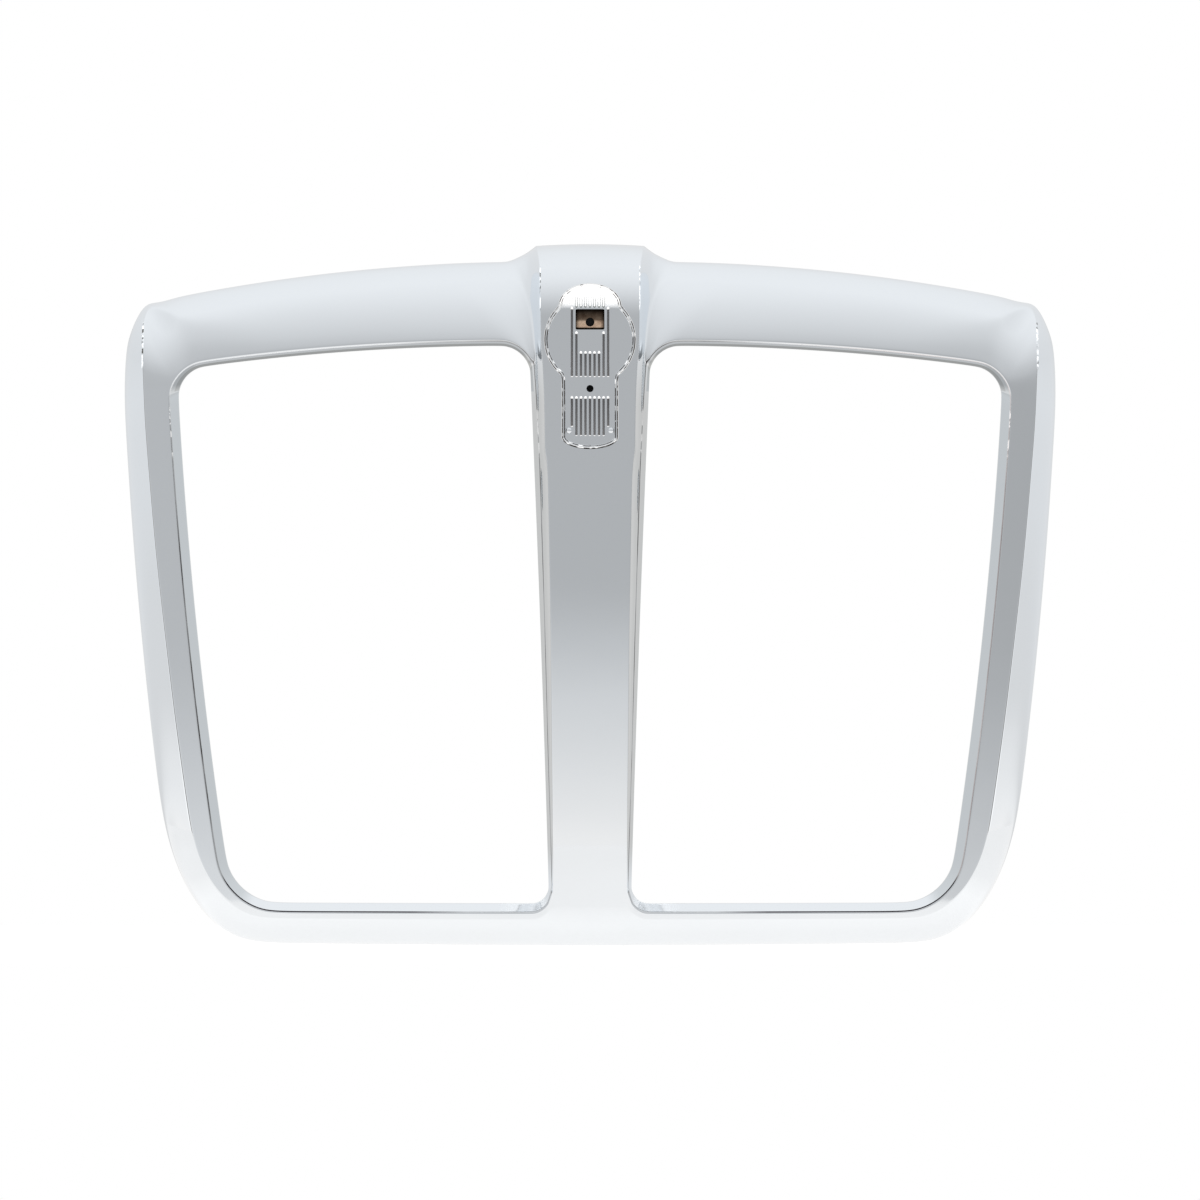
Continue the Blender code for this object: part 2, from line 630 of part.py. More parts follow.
def bars():
    """Ribs as (place from the middle, foot, head): below the small hole, beside and below the window, and above it."""
    found = [(i, 0.5845 if abs(i) == 4 else 0.5742, 0.6190) for i in range(-4, 5)]
    found += [(i, 0.6403, 0.7190) for i in (-4, 4)]
    found += [(i, 0.6403, 0.6915) for i in (-3, 3)]
    found += [(i, 0.6403, 0.6694) for i in range(-2, 3)]
    found += [(i, 0.7180, 0.7305) for i in range(-3, 4)]
    return [bar(i * BAR_PITCH, foot, head) for i, foot, head in found]


def make_seat(chrome):
    net = Net()
    rows = []
    for (u, z), (u_in, z_in) in zip(seat_outline(-GAP), seat_outline(-GAP - SEAT_RIM)):
        floor, front = seat_floor(z_in), crown_depth(z_in) - SEAT_PROUD
        rear = seat_floor(z) + SEAT_PLATE
        rows.append([
            (0.0, floor, z_in), (u_in, floor, z_in), (u_in, front, z_in),
            (u, crown_depth(z) - SEAT_PROUD, z), (u, rear, z), (0.0, rear, z),
        ])
    net.patch(rows)
    ob = add_object("badge_seat", mesh_from("badge_seat", net.points, net.faces), chrome)
    u, z = SEAT_SCREWS
    x, strap_z = STRAP_SCREWS
    back = SEAT_FLOOR + SEAT_PLATE - 0.001
    bosses = [rod("boss", SMALL_BOSS, side * u, z, back, BRACE_WEB - GAP, 10) for side in (-1, 1)]
    bosses += [rod("boss", SMALL_BOSS, side * x, strap_z, back, STRAP - GAP, 10) for side in (-1, 1)]
    combine(ob, bars() + bosses, "UNION")
    half, low, high = SEAT_WINDOW
    holes = [block("window", (-half, -0.01, low), (half, 0.015, high))]
    holes.append(rod("hole", SEAT_HOLE[1], 0, SEAT_HOLE[0], -0.01, 0.015))
    holes += [rod("bore", SMALL_BORE, side * u, z, -0.01, 0.04, 8) for side in (-1, 1)]
    holes += [rod("bore", SMALL_BORE, side * x, strap_z, back, 0.02, 8) for side in (-1, 1)]
    combine(ob, holes, "DIFFERENCE")
    return ob


def make_strap(steel):
    """The bent strap behind the seat's window, with the hole that takes the badge's clip."""
    lip = 0.005
    loop = [
        (STRAP, STRAP_HEAD), (STRAP + STRAP_GAUGE, STRAP_HEAD), (STRAP + STRAP_GAUGE, STRAP_FOOT),
        (STRAP - lip, STRAP_FOOT), (STRAP - lip, STRAP_FOOT + STRAP_GAUGE), (STRAP, STRAP_FOOT + STRAP_GAUGE),
    ]
    ob = add_object("badge_bracket", slab("badge_bracket", loop, -STRAP_HALF, STRAP_HALF), steel)
    x, z = STRAP_SCREWS
    holes = [rod("bore", SMALL_BORE, side * x, z, 0, 0.03, 8) for side in (-1, 1)]
    holes.append(rod("hole", STRAP_HOLE[1], 0, STRAP_HOLE[0], 0, 0.03, 16))
    combine(ob, holes, "DIFFERENCE")


def screw(name, material, shank, tip, seat, head, height, x, z):
    """A screw that runs forward from the rear face it sits on. tip and seat are depths."""
    profile = [(0, tip), (shank, tip), (shank, seat), (head, seat), (head, seat + height * 0.6)]
    profile += [(head * 0.7, seat + height), (0, seat + height)]
    add_object(name, lathe(name, profile, 10), material, world(x, 0, z))


def make_seat_screws(steel):
    """Dome-headed screws that hold the seat to the brace behind the post."""
    seat = SEAT_FLOOR - GAP
    profile = [(0, seat - 0.0016), (SEAT_SCREW_HEAD * 0.6, seat - 0.0013), (SEAT_SCREW_HEAD, seat - 0.0004)]
    profile += [(SEAT_SCREW_HEAD, seat), (SMALL_SHANK, seat), (SMALL_SHANK, BRACE_WEB + 0.006), (0, BRACE_WEB + 0.006)]
    for side, x in (("left", -1), ("right", 1)):
        name = f"seat_screw_{side}"
        turned = [profile[0], (0.0001, profile[0][1]), *profile[1:]]
        add_object(name, lathe(name, turned, 12), steel, world(x * SEAT_SCREWS[0], 0, SEAT_SCREWS[1]))


def make_brace(steel):
    inner, rear = BRACE_HALF - BRACE_GAUGE, BRACE_WEB + BRACE_FLANGE
    web = BRACE_WEB + BRACE_GAUGE
    loop = [(-BRACE_HALF, BRACE_WEB), (BRACE_HALF, BRACE_WEB), (BRACE_HALF, rear), (inner, rear), (inner, web)]
    loop += [(-inner, web), (-inner, rear), (-BRACE_HALF, rear)]
    points = [world(x, d, z) for z in (BRACE_FOOT, BRACE_HEAD) for x, d in loop]
    faces = [tuple(range(8)), tuple(range(8, 16)), *ring_faces(8, 2)]
    ob = add_object("post_brace", mesh_from("post_brace", points, faces), steel)
    holes = [rod("bore", PILOT_R, 0, z, 0, 0.05, 8) for z in BRACE_SCREWS]
    holes += [rod("bore", SMALL_BORE, side * SEAT_SCREWS[0], SEAT_SCREWS[1], 0, 0.05, 8) for side in (-1, 1)]
    combine(ob, holes, "DIFFERENCE")
    for number, z in enumerate(BRACE_SCREWS, 1):
        tip = face_depth(z) + SKIN + 0.001
        screw(f"post_brace_screw_{number}", steel, SHANK_R, tip, web + GAP, 0.0045, 0.003, 0.0, z)


def make_bracket(place, steel):
    """A joggled bracket on the rear flange, with its weld nut and its two screws."""
    name = place[0]
    frame = bracket_frame(place)
    near, ear_rear = BACK + GAP, BACK + GAP + PLATE
    pad, foot, end = PAD / 2, PAD / 2 + JOGGLE, PAD / 2 + JOGGLE + EAR
    slope = math.atan2(DEPTH - ear_rear, JOGGLE)
    shift = PLATE * math.tan(slope / 2)
    rear = [(-end, ear_rear), (-foot, ear_rear), (-pad, DEPTH), (pad, DEPTH), (foot, ear_rear), (end, ear_rear)]
    front = [(end, near), (foot - shift, near), (pad - shift, DEPTH - PLATE)]
    front += [(-pad + shift, DEPTH - PLATE), (-foot + shift, near), (-end, near)]
    loop = rear + front
    points = [(x, d, z) for z in (-BRACKET_WIDE, 0) for x, d in loop]
    count = len(loop)
    faces = [tuple(range(count)), tuple(range(count, 2 * count)), *ring_faces(count, 2)]
    mesh = mesh_from(f"{name}_bracket", points, faces)
    mesh.transform(frame)
    bracket = add_object(f"{name}_bracket", mesh, steel)
    bolt = frame @ Vector((0, 0, -BOLT_IN))
    holes = [rod("bolt", BOLT_HOLE, bolt.x, bolt.z, BACK, DEPTH + 0.01)]
    holes += [rod("bore", PILOT_R, p.x, p.z, BACK - 0.01, DEPTH, 8) for p in ear_points(place)]
    combine(bracket, holes, "DIFFERENCE")
    nut = DEPTH - PLATE - GAP
    ring = washer("weld_nut", NUT_R, NUT_BORE, nut - NUT_HIGH, nut, 6)
    add_object(f"{name}_weld_nut", ring, steel, (bolt.x, FRONT_Y, bolt.z))
    for number, point in enumerate(ear_points(place), 1):
        part = f"{name}_bracket_screw_{number}"
        screw(part, steel, SHANK_R, BACK - 0.012, ear_rear + GAP, 0.0050, 0.0034, point.x, point.z)


def make_seal(name, edges, foam):
    """A foam strip on the flange. edges are the flange's (rear edge, inner edge) points in order."""
    points = []
    for rim, inner in edges:
        inward = Vector((inner[0] - rim[0], inner[2] - rim[2])).normalized()
        for reach, depth in ((0, 0), (0, 1), (1, 1), (1, 0)):
            step = SEAL_IN - DRAFT + reach * SEAL_WIDE
            d = BACK + GAP + depth * SEAL_THICK
            points.append(world(rim[0] + inward.x * step, d, rim[2] + inward.y * step))
    faces = ring_faces(4, len(edges)) + [(0, 1, 2, 3), tuple(range(len(points) - 4, len(points)))]
    add_object(name, mesh_from(name, points, faces), foam)


def mirrored(edges):
    return [tuple((-x, d, z) for x, d, z in pair) for pair in edges]


def make_seals(foam):
    edges = [(section[-2], section[-1]) for section in with_wall(frame_sections())]
    top, side, foot = edges[:17], edges[19:29], edges[31:]
    make_seal("seal_top", mirrored(top[:0:-1]) + top, foam)
    make_seal("seal_right", side, foam)
    make_seal("seal_left", mirrored(side), foam)
    make_seal("seal_foot", foot + mirrored(foot[-2::-1]), foam)


def main():
    for ob in list(bpy.data.objects):
        bpy.data.objects.remove(ob)
    chrome = surface("chrome", (0.86, 0.87, 0.88), 1.0, 0.04)
    zinc = surface("zinc_plated_steel", (0.55, 0.55, 0.53), 1.0, 0.35)
    black = surface("black_steel", (0.03, 0.03, 0.03), 0.6, 0.5)
    bronze = surface("passivated_steel", (0.16, 0.11, 0.08), 0.8, 0.4)
    foam = surface("foam", (0.02, 0.02, 0.02), 0.0, 0.9)
    make_shell(chrome)
    make_seat(chrome)
    make_strap(bronze)
    x, z = STRAP_SCREWS
    for side, sign in (("left", -1), ("right", 1)):
        name = f"badge_bracket_screw_{side}"
        rear = STRAP + STRAP_GAUGE + GAP
        screw(name, zinc, SMALL_SHANK, SEAT_FLOOR + SEAT_PLATE + 0.003, rear, 0.0030, 0.002, sign * x, z)
    make_seat_screws(zinc)
    nut = SEAT_FLOOR + SEAT_PLATE + GAP
    mesh = washer("badge_push_nut", 0.0090, SEAT_HOLE[1] + 0.0002, nut, nut + 0.0008)
    add_object("badge_push_nut", mesh, zinc, world(0, 0, SEAT_HOLE[0]))
    make_brace(black)
    for place in bracket_places():
        make_bracket(place, black if place[0] == "crown" else zinc)
    make_seals(foam)


main()
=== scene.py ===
"""The looks of a chrome-plated grille surround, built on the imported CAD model.

Metres, +Z up, and the front faces -Y, as in the CAD. A point of the moulding is worked out as (u, d, z): u is the
distance from the plane of symmetry, and d is the depth behind the front of the post.
"""

import json
from math import acos, asin, copysign, cos, dist, pi, radians, sin, sqrt, tan

import bmesh
import bpy
import numpy as np
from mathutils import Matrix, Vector

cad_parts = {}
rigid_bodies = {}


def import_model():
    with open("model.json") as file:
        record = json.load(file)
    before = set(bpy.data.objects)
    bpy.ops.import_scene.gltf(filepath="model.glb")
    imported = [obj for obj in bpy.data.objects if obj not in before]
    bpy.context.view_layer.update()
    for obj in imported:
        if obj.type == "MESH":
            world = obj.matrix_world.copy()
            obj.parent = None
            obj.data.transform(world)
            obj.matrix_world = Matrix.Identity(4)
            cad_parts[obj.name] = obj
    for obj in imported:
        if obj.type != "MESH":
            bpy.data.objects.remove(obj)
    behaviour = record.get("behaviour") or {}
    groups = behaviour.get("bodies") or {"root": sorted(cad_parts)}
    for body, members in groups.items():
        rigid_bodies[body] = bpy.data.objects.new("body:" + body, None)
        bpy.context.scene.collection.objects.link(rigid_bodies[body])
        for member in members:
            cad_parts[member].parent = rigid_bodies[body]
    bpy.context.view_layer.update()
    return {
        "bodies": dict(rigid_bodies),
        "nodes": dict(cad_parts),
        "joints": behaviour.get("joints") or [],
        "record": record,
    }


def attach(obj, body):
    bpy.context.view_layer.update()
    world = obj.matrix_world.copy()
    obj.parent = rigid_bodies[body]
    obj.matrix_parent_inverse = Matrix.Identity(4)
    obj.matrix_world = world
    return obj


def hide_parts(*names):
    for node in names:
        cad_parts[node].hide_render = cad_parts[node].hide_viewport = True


# --- Driving dimensions ---
DEPTH = 0.156  # front of the post to the rear pads of the brackets
SEAT_PROUD = 0.0008  # the badge seat's rim stands this far in front of the post
FRONT_Y = -(DEPTH - SEAT_PROUD) / 2
SKIN = 0.003  # wall of the moulding
GAP = 0.0003  # clearance between touching pieces
BACK = 0.144  # depth of the flange's rear plane
FLANGE = 0.022
DRAFT = 0.003  # the outer wall draws in by this much towards the rear

BOW, BOW_AT = 0.048, 0.5  # how far the front lies back, and how far out that is measured
PROUD = 0.017  # the post and the crown stand this far in front of the frame
LEAN, LEAN_FROM = 0.006, 0.30  # the frame leans back below this height

WINDOW_TOP, WINDOW_TOP_FROM, WINDOW_TOP_FALL = 0.6763, 0.090, 0.1876
WINDOW_SIDE, WINDOW_SIDE_Z, WINDOW_SIDE_TAPER, WINDOW_SIDE_CURVE = 0.4613, 0.5705, 0.066, 0.0889
WINDOW_POST = ((0.0688, 0.0465), (0.6425, 0.0669))  # height and u at the two ends of the post
WINDOW_POST_HOLLOW = 0.0045
TOP_INNER = (0.1007, 0.6425, 0.0338)  # centre and radius of the corner: u, z, radius
FOOT_INNER = (0.0656, 0.0688, 0.0192)
TOP_OUTER = (0.4661, 0.6497, 0.0315)  # where the edges would meet, and the length that the corner cuts off
FOOT_OUTER = (0.4028, 0.0496, 0.0500)

LIP_TOP, LIP_SIDE, LIP_FOOT, LIP_POST = 0.0050, 0.0107, 0.0101, 0.0045  # width of the lip in front view
LIP_DEPTH, LIP_DEPTH_TOP, LIP_DEPTH_POST = 0.014, 0.018, 0.010
DEEP_LIP, POST_LIP = (0.60, 0.66), (0.075, 0.060)  # z where it gets deeper, and u where it gets shallower
RETURN = 0.014  # straight wall behind the lip

OUTER_TOP, OUTER_TOP_FROM, OUTER_TOP_SLOPE, OUTER_TOP_CURVE = 0.7724, 0.1243, 0.030, 0.2407
OUTLINE_FROM, OUTER_TOP_TO = 0.1700, 0.4650  # u where the top outline starts, and where it turns into the corner
CORNER = (0.5034, 0.7261)  # the outline's upper corner
HALF_WIDTH, WIDEST_Z = 0.5288, 0.6448
SHOULDER, SHOULDER_HEIGHT = 0.0249, 0.0825
SIDE_TAPER, SIDE_CURVE = 0.045, 0.0885
SHOULDER_END, SIDE_END = 0.6750, 0.1645
FOOT_CORNER = ((0.4870, 0.1645), (0.4757, 0.0798), (0.4351, 0.0029), (0.3729, 0.0020))

CROWN_TOP, CROWN_BEND, CROWN_DEPTH = 0.7936, 0.7198, 0.092
CROWN_HALF, FLARE = 0.0612, 0.0904  # u of the crown's edge and of its flare at the top outline
FACE_EDGE = (  # height and u of the edge of the post's face
    (0.05, 0.0415), (0.10, 0.0415), (0.23, 0.0431), (0.33, 0.0437), (0.44, 0.0456), (0.53, 0.0472),
    (0.542, 0.0478), (0.558, 0.0506), (0.62, 0.0514), (0.65, 0.0530), (0.69, 0.0556), (0.72, 0.0556),
)
FRAME_EDGE = (  # height and u of the line where the post's flank meets the frame
    (0.05, 0.0472), (0.0688, 0.0425), (0.10, 0.0430), (0.23, 0.0471), (0.33, 0.0494), (0.46, 0.0533),
    (0.54, 0.0557), (0.58, 0.0579), (0.62, 0.0598), (0.65, 0.0622), (0.69, 0.0625),
)
ARRIS = 0.0012  # least width kept between the face's edge and the frame
POST_TOP, POST_FOOT = 0.6571, 0.0500  # heights where the post runs into the top and bottom rails
SINK_FROM = 0.40  # below this height the post's face sinks back to the frame

ROLL, ROLL_LESS = 0.080, 0.022  # depth of the top rail's roll, and how much less it is at BOW_AT
ROLL_FROM = radians(8)
BAND_DEPTH = 0.045  # depth of the outer band beside a window
BAND_FROM = radians(35)
CREASE_ON_SIDE = (0.57, 0.53, 0.51, 0.50, 0.475, 0.45, 0.44, 0.42, 0.41)  # share of the width, down the side
CREASE_ON_FOOT = 0.20

SEAT_Z, SEAT_R = 0.6824, 0.0515
SEAT_TAIL, SEAT_TAIL_Z, SEAT_FOOT = 0.0317, 0.5731, 0.5596
SEAT_DOME = (0.0352, 0.0252)
SEAT_BEND = 0.7203
SEAT_RIM, SEAT_FLOOR, SEAT_PLATE = 0.0036, 0.0035, 0.003
SEAT_RAMP = tan(radians(30))
SEAT_WINDOW = (0.0162, 0.6935, 0.7164)
SEAT_HOLE = (0.6274, 0.0040)
BAR_PITCH, BAR_WIDTH, BAR_HEIGHT = 0.00507, 0.0030, 0.0014
SEAT_SCREWS, SEAT_SCREW_HEAD = (0.0238, 0.5803), 0.0034
SCREW_SHANK, SCREW_END = 0.0015, 0.0300  # radius of the shank, and the depth that it reaches


def mix(a, b, t):
    return a + (b - a) * t


def share_of(value, low, high):
    """How far the value is on its way from low to high, kept within 0 and 1."""
    return min(1.0, max(0.0, (value - low) / (high - low)))


def along(points, z):
    heights, widths = zip(*points)
    return float(np.interp(z, heights, widths))


def bezier(a, b, c, d, t):
    s = 1 - t
    return tuple(s**3 * p + 3 * s * s * t * q + 3 * s * t * t * r + t**3 * w for p, q, r, w in zip(a, b, c, d))


def world(u, d, z):
    return (u, FRONT_Y + d, z)


# --- Depth of the front ---
def frame_depth(u, z):
    lean = LEAN * max(0.0, (LEAN_FROM - z) / LEAN_FROM) ** 2
    return PROUD + BOW * (u / BOW_AT) ** 2 + lean


def face_depth(z):
    sink = share_of(z, SINK_FROM, POST_FOOT)
    return sink**2 * frame_depth(0.0, z)


def crown_depth(z):
    rise = share_of(z, CROWN_BEND, CROWN_TOP)
    return CROWN_DEPTH * (1 - sqrt(1 - rise**2))


# --- Outlines in front view ---
def window_top(u, out=0.0):
    return WINDOW_TOP + out - WINDOW_TOP_FALL * (u - WINDOW_TOP_FROM) ** 2


def window_side(z, out=0.0):
    t = WINDOW_SIDE_Z - z
    return WINDOW_SIDE + out - WINDOW_SIDE_TAPER * t - WINDOW_SIDE_CURVE * t * t


def window_post(z):
    (low, foot), (high, head) = WINDOW_POST
    s = (z - low) / (high - low)
    return mix(foot, head, s) - WINDOW_POST_HOLLOW * s * (1 - s)


def outer_top(u):
    t = u - OUTER_TOP_FROM
    return OUTER_TOP - OUTER_TOP_SLOPE * t - OUTER_TOP_CURVE * t * t


def outer_side(z):
    t = WIDEST_Z - z
    if t < 0:
        return HALF_WIDTH - SHOULDER * (t / SHOULDER_HEIGHT) ** 2
    return HALF_WIDTH - SIDE_TAPER * t - SIDE_CURVE * t * t


def outer_foot(u):
    return FOOT_CORNER[3][1] * (u / FOOT_CORNER[3][0]) ** 2


def cut_corner(corner, start, end, t):
    """A round corner between two edges, with its handles on the point where the edges would meet."""
    first, second = (tuple(mix(e, c, 0.55) for e, c in zip(point, corner)) for point in (start, end))
    return bezier(start, first, second, end, t)


def opening(part, t, lip):
    """A point on the window's edge (lip 0) or on the crease in front of its lip (lip 1)."""
    top, side, foot = LIP_TOP * lip, LIP_SIDE * lip, LIP_FOOT * lip
    u1, z1, r1 = TOP_OUTER
    u2, z2, r2 = FOOT_OUTER
    u1, z1, r1 = u1 + side, z1 + top, r1 + side
    u2, z2, r2 = u2 + side, z2 - foot, r2 + side
    top_end = (u1 - r1, window_top(u1 - r1, top))
    side_start = (window_side(z1 - r1, side), z1 - r1)
    side_end = (window_side(z2 + r2, side), z2 + r2)
    foot_start = (u2 - r2, z2)
    if part == "top":
        u = mix(TOP_INNER[0], top_end[0], t)
        return u, window_top(u, top)
    if part == "top_corner":
        return cut_corner((u1, z1), top_end, side_start, t)
    if part == "side":
        z = mix(side_start[1], side_end[1], t)
        return window_side(z, side), z
    if part == "foot_corner":
        return cut_corner((u2, z2), side_end, foot_start, t)
    return mix(foot_start[0], FOOT_INNER[0], t), z2


def outline(part, t):
    """The point of the outer outline that goes with a point of the window's edge."""
    if part == "top":
        u = mix(OUTLINE_FROM, OUTER_TOP_TO, t)
        return u, outer_top(u)
    if part == "top_corner" and t <= 0.5:
        u = mix(OUTER_TOP_TO, CORNER[0], t * 2)
        return u, mix(outer_top(u), CORNER[1], t * 2)
    if part == "top_corner":
        z = mix(CORNER[1], SHOULDER_END, t * 2 - 1)
        return outer_side(z), z
    if part == "side":
        z = mix(SHOULDER_END, SIDE_END, t)
        return outer_side(z), z
    if part == "foot_corner":
        return bezier(*FOOT_CORNER, t)
    u = mix(FOOT_CORNER[3][0], FOOT_INNER[0], t)
    return u, outer_foot(u)


def inner_corner(which, degrees, lip):
    """A point on the round corner beside the post. Degrees run from level to beside the post."""
    turn = radians(degrees)
    if which == "top":
        u, z, radius = TOP_INNER
        radius += LIP_TOP * lip
        return u - radius * sin(turn), z + radius * cos(turn)
    u, z, radius = FOOT_INNER
    wide, tall = radius + LIP_POST * lip, radius + LIP_FOOT * lip
    return u - wide * sin(turn), z - tall * cos(turn)


# --- Sections across the frame ---
def roll_rows(start, shares):
    """Share of the width and of the depth at angles that run from start to square with the rear."""
    rows = []
    for share in shares:
        angle = mix(start, pi / 2, share)
        width = (sin(angle) - sin(start)) / (1 - sin(start))
        rows.append((width, 1 - cos(angle) / cos(start)))
    return rows


def top_roll(u, z):
    """Share of the roll's depth at a point of the corner, where the top rail's roll runs on past the window."""
    out = share_of(u, OUTER_TOP_TO, CORNER[0])
    low, high = window_top(u, LIP_TOP), mix(outer_top(u), CORNER[1], out)
    return 1 - sqrt(1 - share_of(z, low, high) ** 2)


def into_corner(t):
    """How far the top rail has turned into the side, from 0 before the corner to 1 halfway round it at t = 0.5."""
    share = share_of(t, -0.3, 0.5)
    return share * share * (3 - 2 * share)


# --- Where the sections of the moulding are taken ---
FILLET, INNER_FILLET = 0.0013, 0.0030  # half length of the round on an edge, outside and inside the wall
SHARES = (0.0, 0.30, 0.60, 0.84)  # shares of the post's half width, up to the round on the edge of its face
TOP_STEPS = 8
CLOCKWISE = (("top_corner", 6), ("side", 10), ("foot_corner", 6), ("foot", 6))  # steps on the rest of the window
TOP_TURNS = (63, 57, 48, 37, 25, 12)  # degrees round the window's corner between the post and the top rail
FOOT_TURNS = (10, 20, 30, 40)
POST_HEIGHTS = (
    0.6500, 0.6425, 0.6250, 0.6050, 0.5850, 0.5680, 0.5580, 0.5480, 0.5300, 0.4900, 0.4300, 0.3900, 0.3500, 0.2900,
    0.2200, 0.1600, 0.1250, 0.1000, 0.0820, 0.0688,
)
ROLLS = (0, 0.035, 0.12, 0.24, 0.36, 0.48, 0.61, 0.74, 0.87, 1)  # shares of the top rail's turn
BANDS = (0.05, 0.25, 0.5, 0.75, 1)  # shares of the outer band's turn
CROWN_RISE = (0.0, 0.007, 0.026, 0.045)  # heights above POST_TOP
CROWN_TURNS = (0, 14, 30, 48, 68, 90)


def section(inner, outer, beside, crease, fillet, plain=0.0):
    """Ten points from the lip's crease to the outline. beside is 0 on the top rail and 1 beside a window.

    plain is 1 under the post, where the bottom rail is one roll like the top rail.
    """
    wide = dist(inner, outer)
    top = roll_rows(ROLL_FROM, ROLLS)
    edge = min(fillet / wide, 0.45 * (1 - crease))
    side = [(0.0, 0.0), (fillet / wide, 0.0), (crease / 2, 0.0), (crease - edge, 0.0), (crease, 0.0)]
    side += [(mix(crease, 1.0, w), d) for w, d in roll_rows(BAND_FROM, BANDS)]
    side = [(mix(a[0], b[0], plain), mix(a[1], b[1], plain)) for a, b in zip(side, top)]
    roll = ROLL - ROLL_LESS * (inner[0] / BOW_AT) ** 2
    points = []
    for (w_top, d_top), (w_side, d_side) in zip(top, side):
        width = mix(w_top, w_side, beside)
        u, z = mix(inner[0], outer[0], width), mix(inner[1], outer[1], width)
        flat = mix(frame_depth(*inner), frame_depth(u, z), beside)
        rolled = top_roll(u, z)
        points.append((u, flat + mix(roll * d_top, mix(BAND_DEPTH * d_side, roll, rolled), beside), z))
    return points


def towards(a, b, length):
    """The point that lies a length from a on the way to b."""
    return tuple(Vector(a) + (Vector(b) - Vector(a)).normalized() * length)


def crown_section(share, fillet=0.0):
    """Ten points over the crown at a share of its half width, less a fillet: upright, then rolled back to the top."""
    points = []
    for rise in CROWN_RISE:
        z = POST_TOP + rise
        points.append((along(FACE_EDGE, z) * share - fillet, 0.0, z))
    for degrees in CROWN_TURNS:
        rise = sin(radians(degrees))
        half = mix(along(FACE_EDGE, CROWN_BEND), CROWN_HALF, rise**4)
        z = mix(CROWN_BEND, CROWN_TOP - 0.002 * share**2, rise)
        points.append((half * share - fillet, CROWN_DEPTH * (1 - cos(radians(degrees))), z))
    return points


def flare_section():
    """The line where the crown's flank meets the top rail."""
    start, top = along(FRAME_EDGE, POST_TOP), outer_top(FLARE) + 0.001
    points = []
    for width, depth in roll_rows(ROLL_FROM, ROLLS):
        points.append((mix(start, FLARE, width**2.4), PROUD + ROLL * depth, mix(POST_TOP, top, width)))
    return points


def flank(edge, frame):
    """The flank between the face's edge and the frame beside it, hollowed towards the frame."""
    return [(mix(a[0], b[0], 0.38), mix(a[1], b[1], 0.64), mix(a[2], b[2], 0.5)) for a, b in zip(edge, frame)]


def across(edge, frame, fillet, grow):
    """Rows beside the edge of the face, on the flank, and beside the frame. grow widens the last one row by row."""
    middle = flank(edge, frame)
    first = [towards(a, m, min(fillet, 0.4 * dist(a, m))) for a, m in zip(edge, middle)]
    last = []
    for i, (m, b) in enumerate(zip(middle, frame)):
        last.append(towards(b, m, min(fillet * (1 + grow * i), 0.5 * dist(b, m))))
    return [first, middle, last]


def frame_sections(fillet):
    """Sections round the right half of the frame, clockwise from the crown's middle to the foot's middle."""
    edge, flare = crown_section(1.0), flare_section()
    found = [crown_section(share) for share in SHARES]
    found += [crown_section(1.0, fillet), edge, *across(edge, flare, fillet, 1.2), flare]
    for degrees in TOP_TURNS:
        u = float(np.interp(degrees, (0, 20, 40, 55, 67), (OUTLINE_FROM, 0.148, 0.128, 0.109, FLARE)))
        found.append(section(inner_corner("top", degrees, 1), (u, outer_top(u)), 0.0, 0.5, fillet))
    at_corner = ((0.25, 0.5, 0.75, 1), (0.97, 0.96, 0.71, CREASE_ON_SIDE[0]))
    at_side = (np.linspace(0, 1, len(CREASE_ON_SIDE)), CREASE_ON_SIDE)
    for part, steps in (("top", TOP_STEPS), *CLOCKWISE):
        for i in range(0 if part == "top" else 1, steps + 1):
            t = i / steps
            beside, crease = {
                "top": (into_corner(t - 1), 0.97),
                "top_corner": (into_corner(t), float(np.interp(t, *at_corner))),
                "side": (1.0, float(np.interp(t, *at_side))),
                "foot_corner": (1.0, mix(CREASE_ON_SIDE[-1], CREASE_ON_FOOT, t)),
                "foot": (1.0, CREASE_ON_FOOT),
            }[part]
            found.append(section(opening(part, t, 1), outline(part, t), beside, crease, fillet))
    for degrees in FOOT_TURNS:
        corner = inner_corner("foot", degrees, 1)
        found.append(section(corner, (corner[0], outer_foot(corner[0])), 1.0, CREASE_ON_FOOT, fillet))
    row = post_row(POST_FOOT, fillet)
    face, frame = row[5][0], row[-1][0]
    for u, *_ in reversed(row):
        plain = share_of(u, frame, face)
        found.append(section((u, POST_FOOT), (u, outer_foot(u)), 1.0, CREASE_ON_FOOT, fillet, plain))
    return found


def post_row(z, fillet):
    """Ten points across the post from the middle out to where it meets the frame."""
    half, frame = along(FACE_EDGE, z), max(along(FRAME_EDGE, z), along(FACE_EDGE, z) + ARRIS)
    face, base = face_depth(z), frame_depth(frame, z)
    edge, base = (half, face, z), (frame, max(base, face + ARRIS), z)
    row = [(half * share, face, z) for share in SHARES]
    row += [(half - fillet, face, z), edge]
    row += [points[0] for points in across([edge], [base], fillet, 0)]
    return [*row, base]


def inwards(half):
    """The direction square to an outline at each point of its right half, towards the inside."""
    (u1, z1), (u2, z2) = half[1], half[-2]
    whole = [(-u1, z1), *half, (-u2, z2)]
    return [Vector((b[1] - a[1], a[0] - b[0])).normalized() for a, b in zip(whole, whole[2:])]


def with_wall(sections, fillet):
    """Adds the outer wall, its round rear edge and the flange to each section."""
    rims = [(s[-1][0], s[-1][2]) for s in sections]
    steps = ((DRAFT, BACK - fillet), (DRAFT, BACK), (DRAFT + fillet, BACK), (DRAFT + FLANGE, BACK))
    walled = []
    for rim, inward, points in zip(rims, inwards(rims), sections):
        added = [(rim[0] + inward.x * reach, d, rim[1] + inward.y * reach) for reach, d in steps]
        walled.append([*points, *added])
    return walled


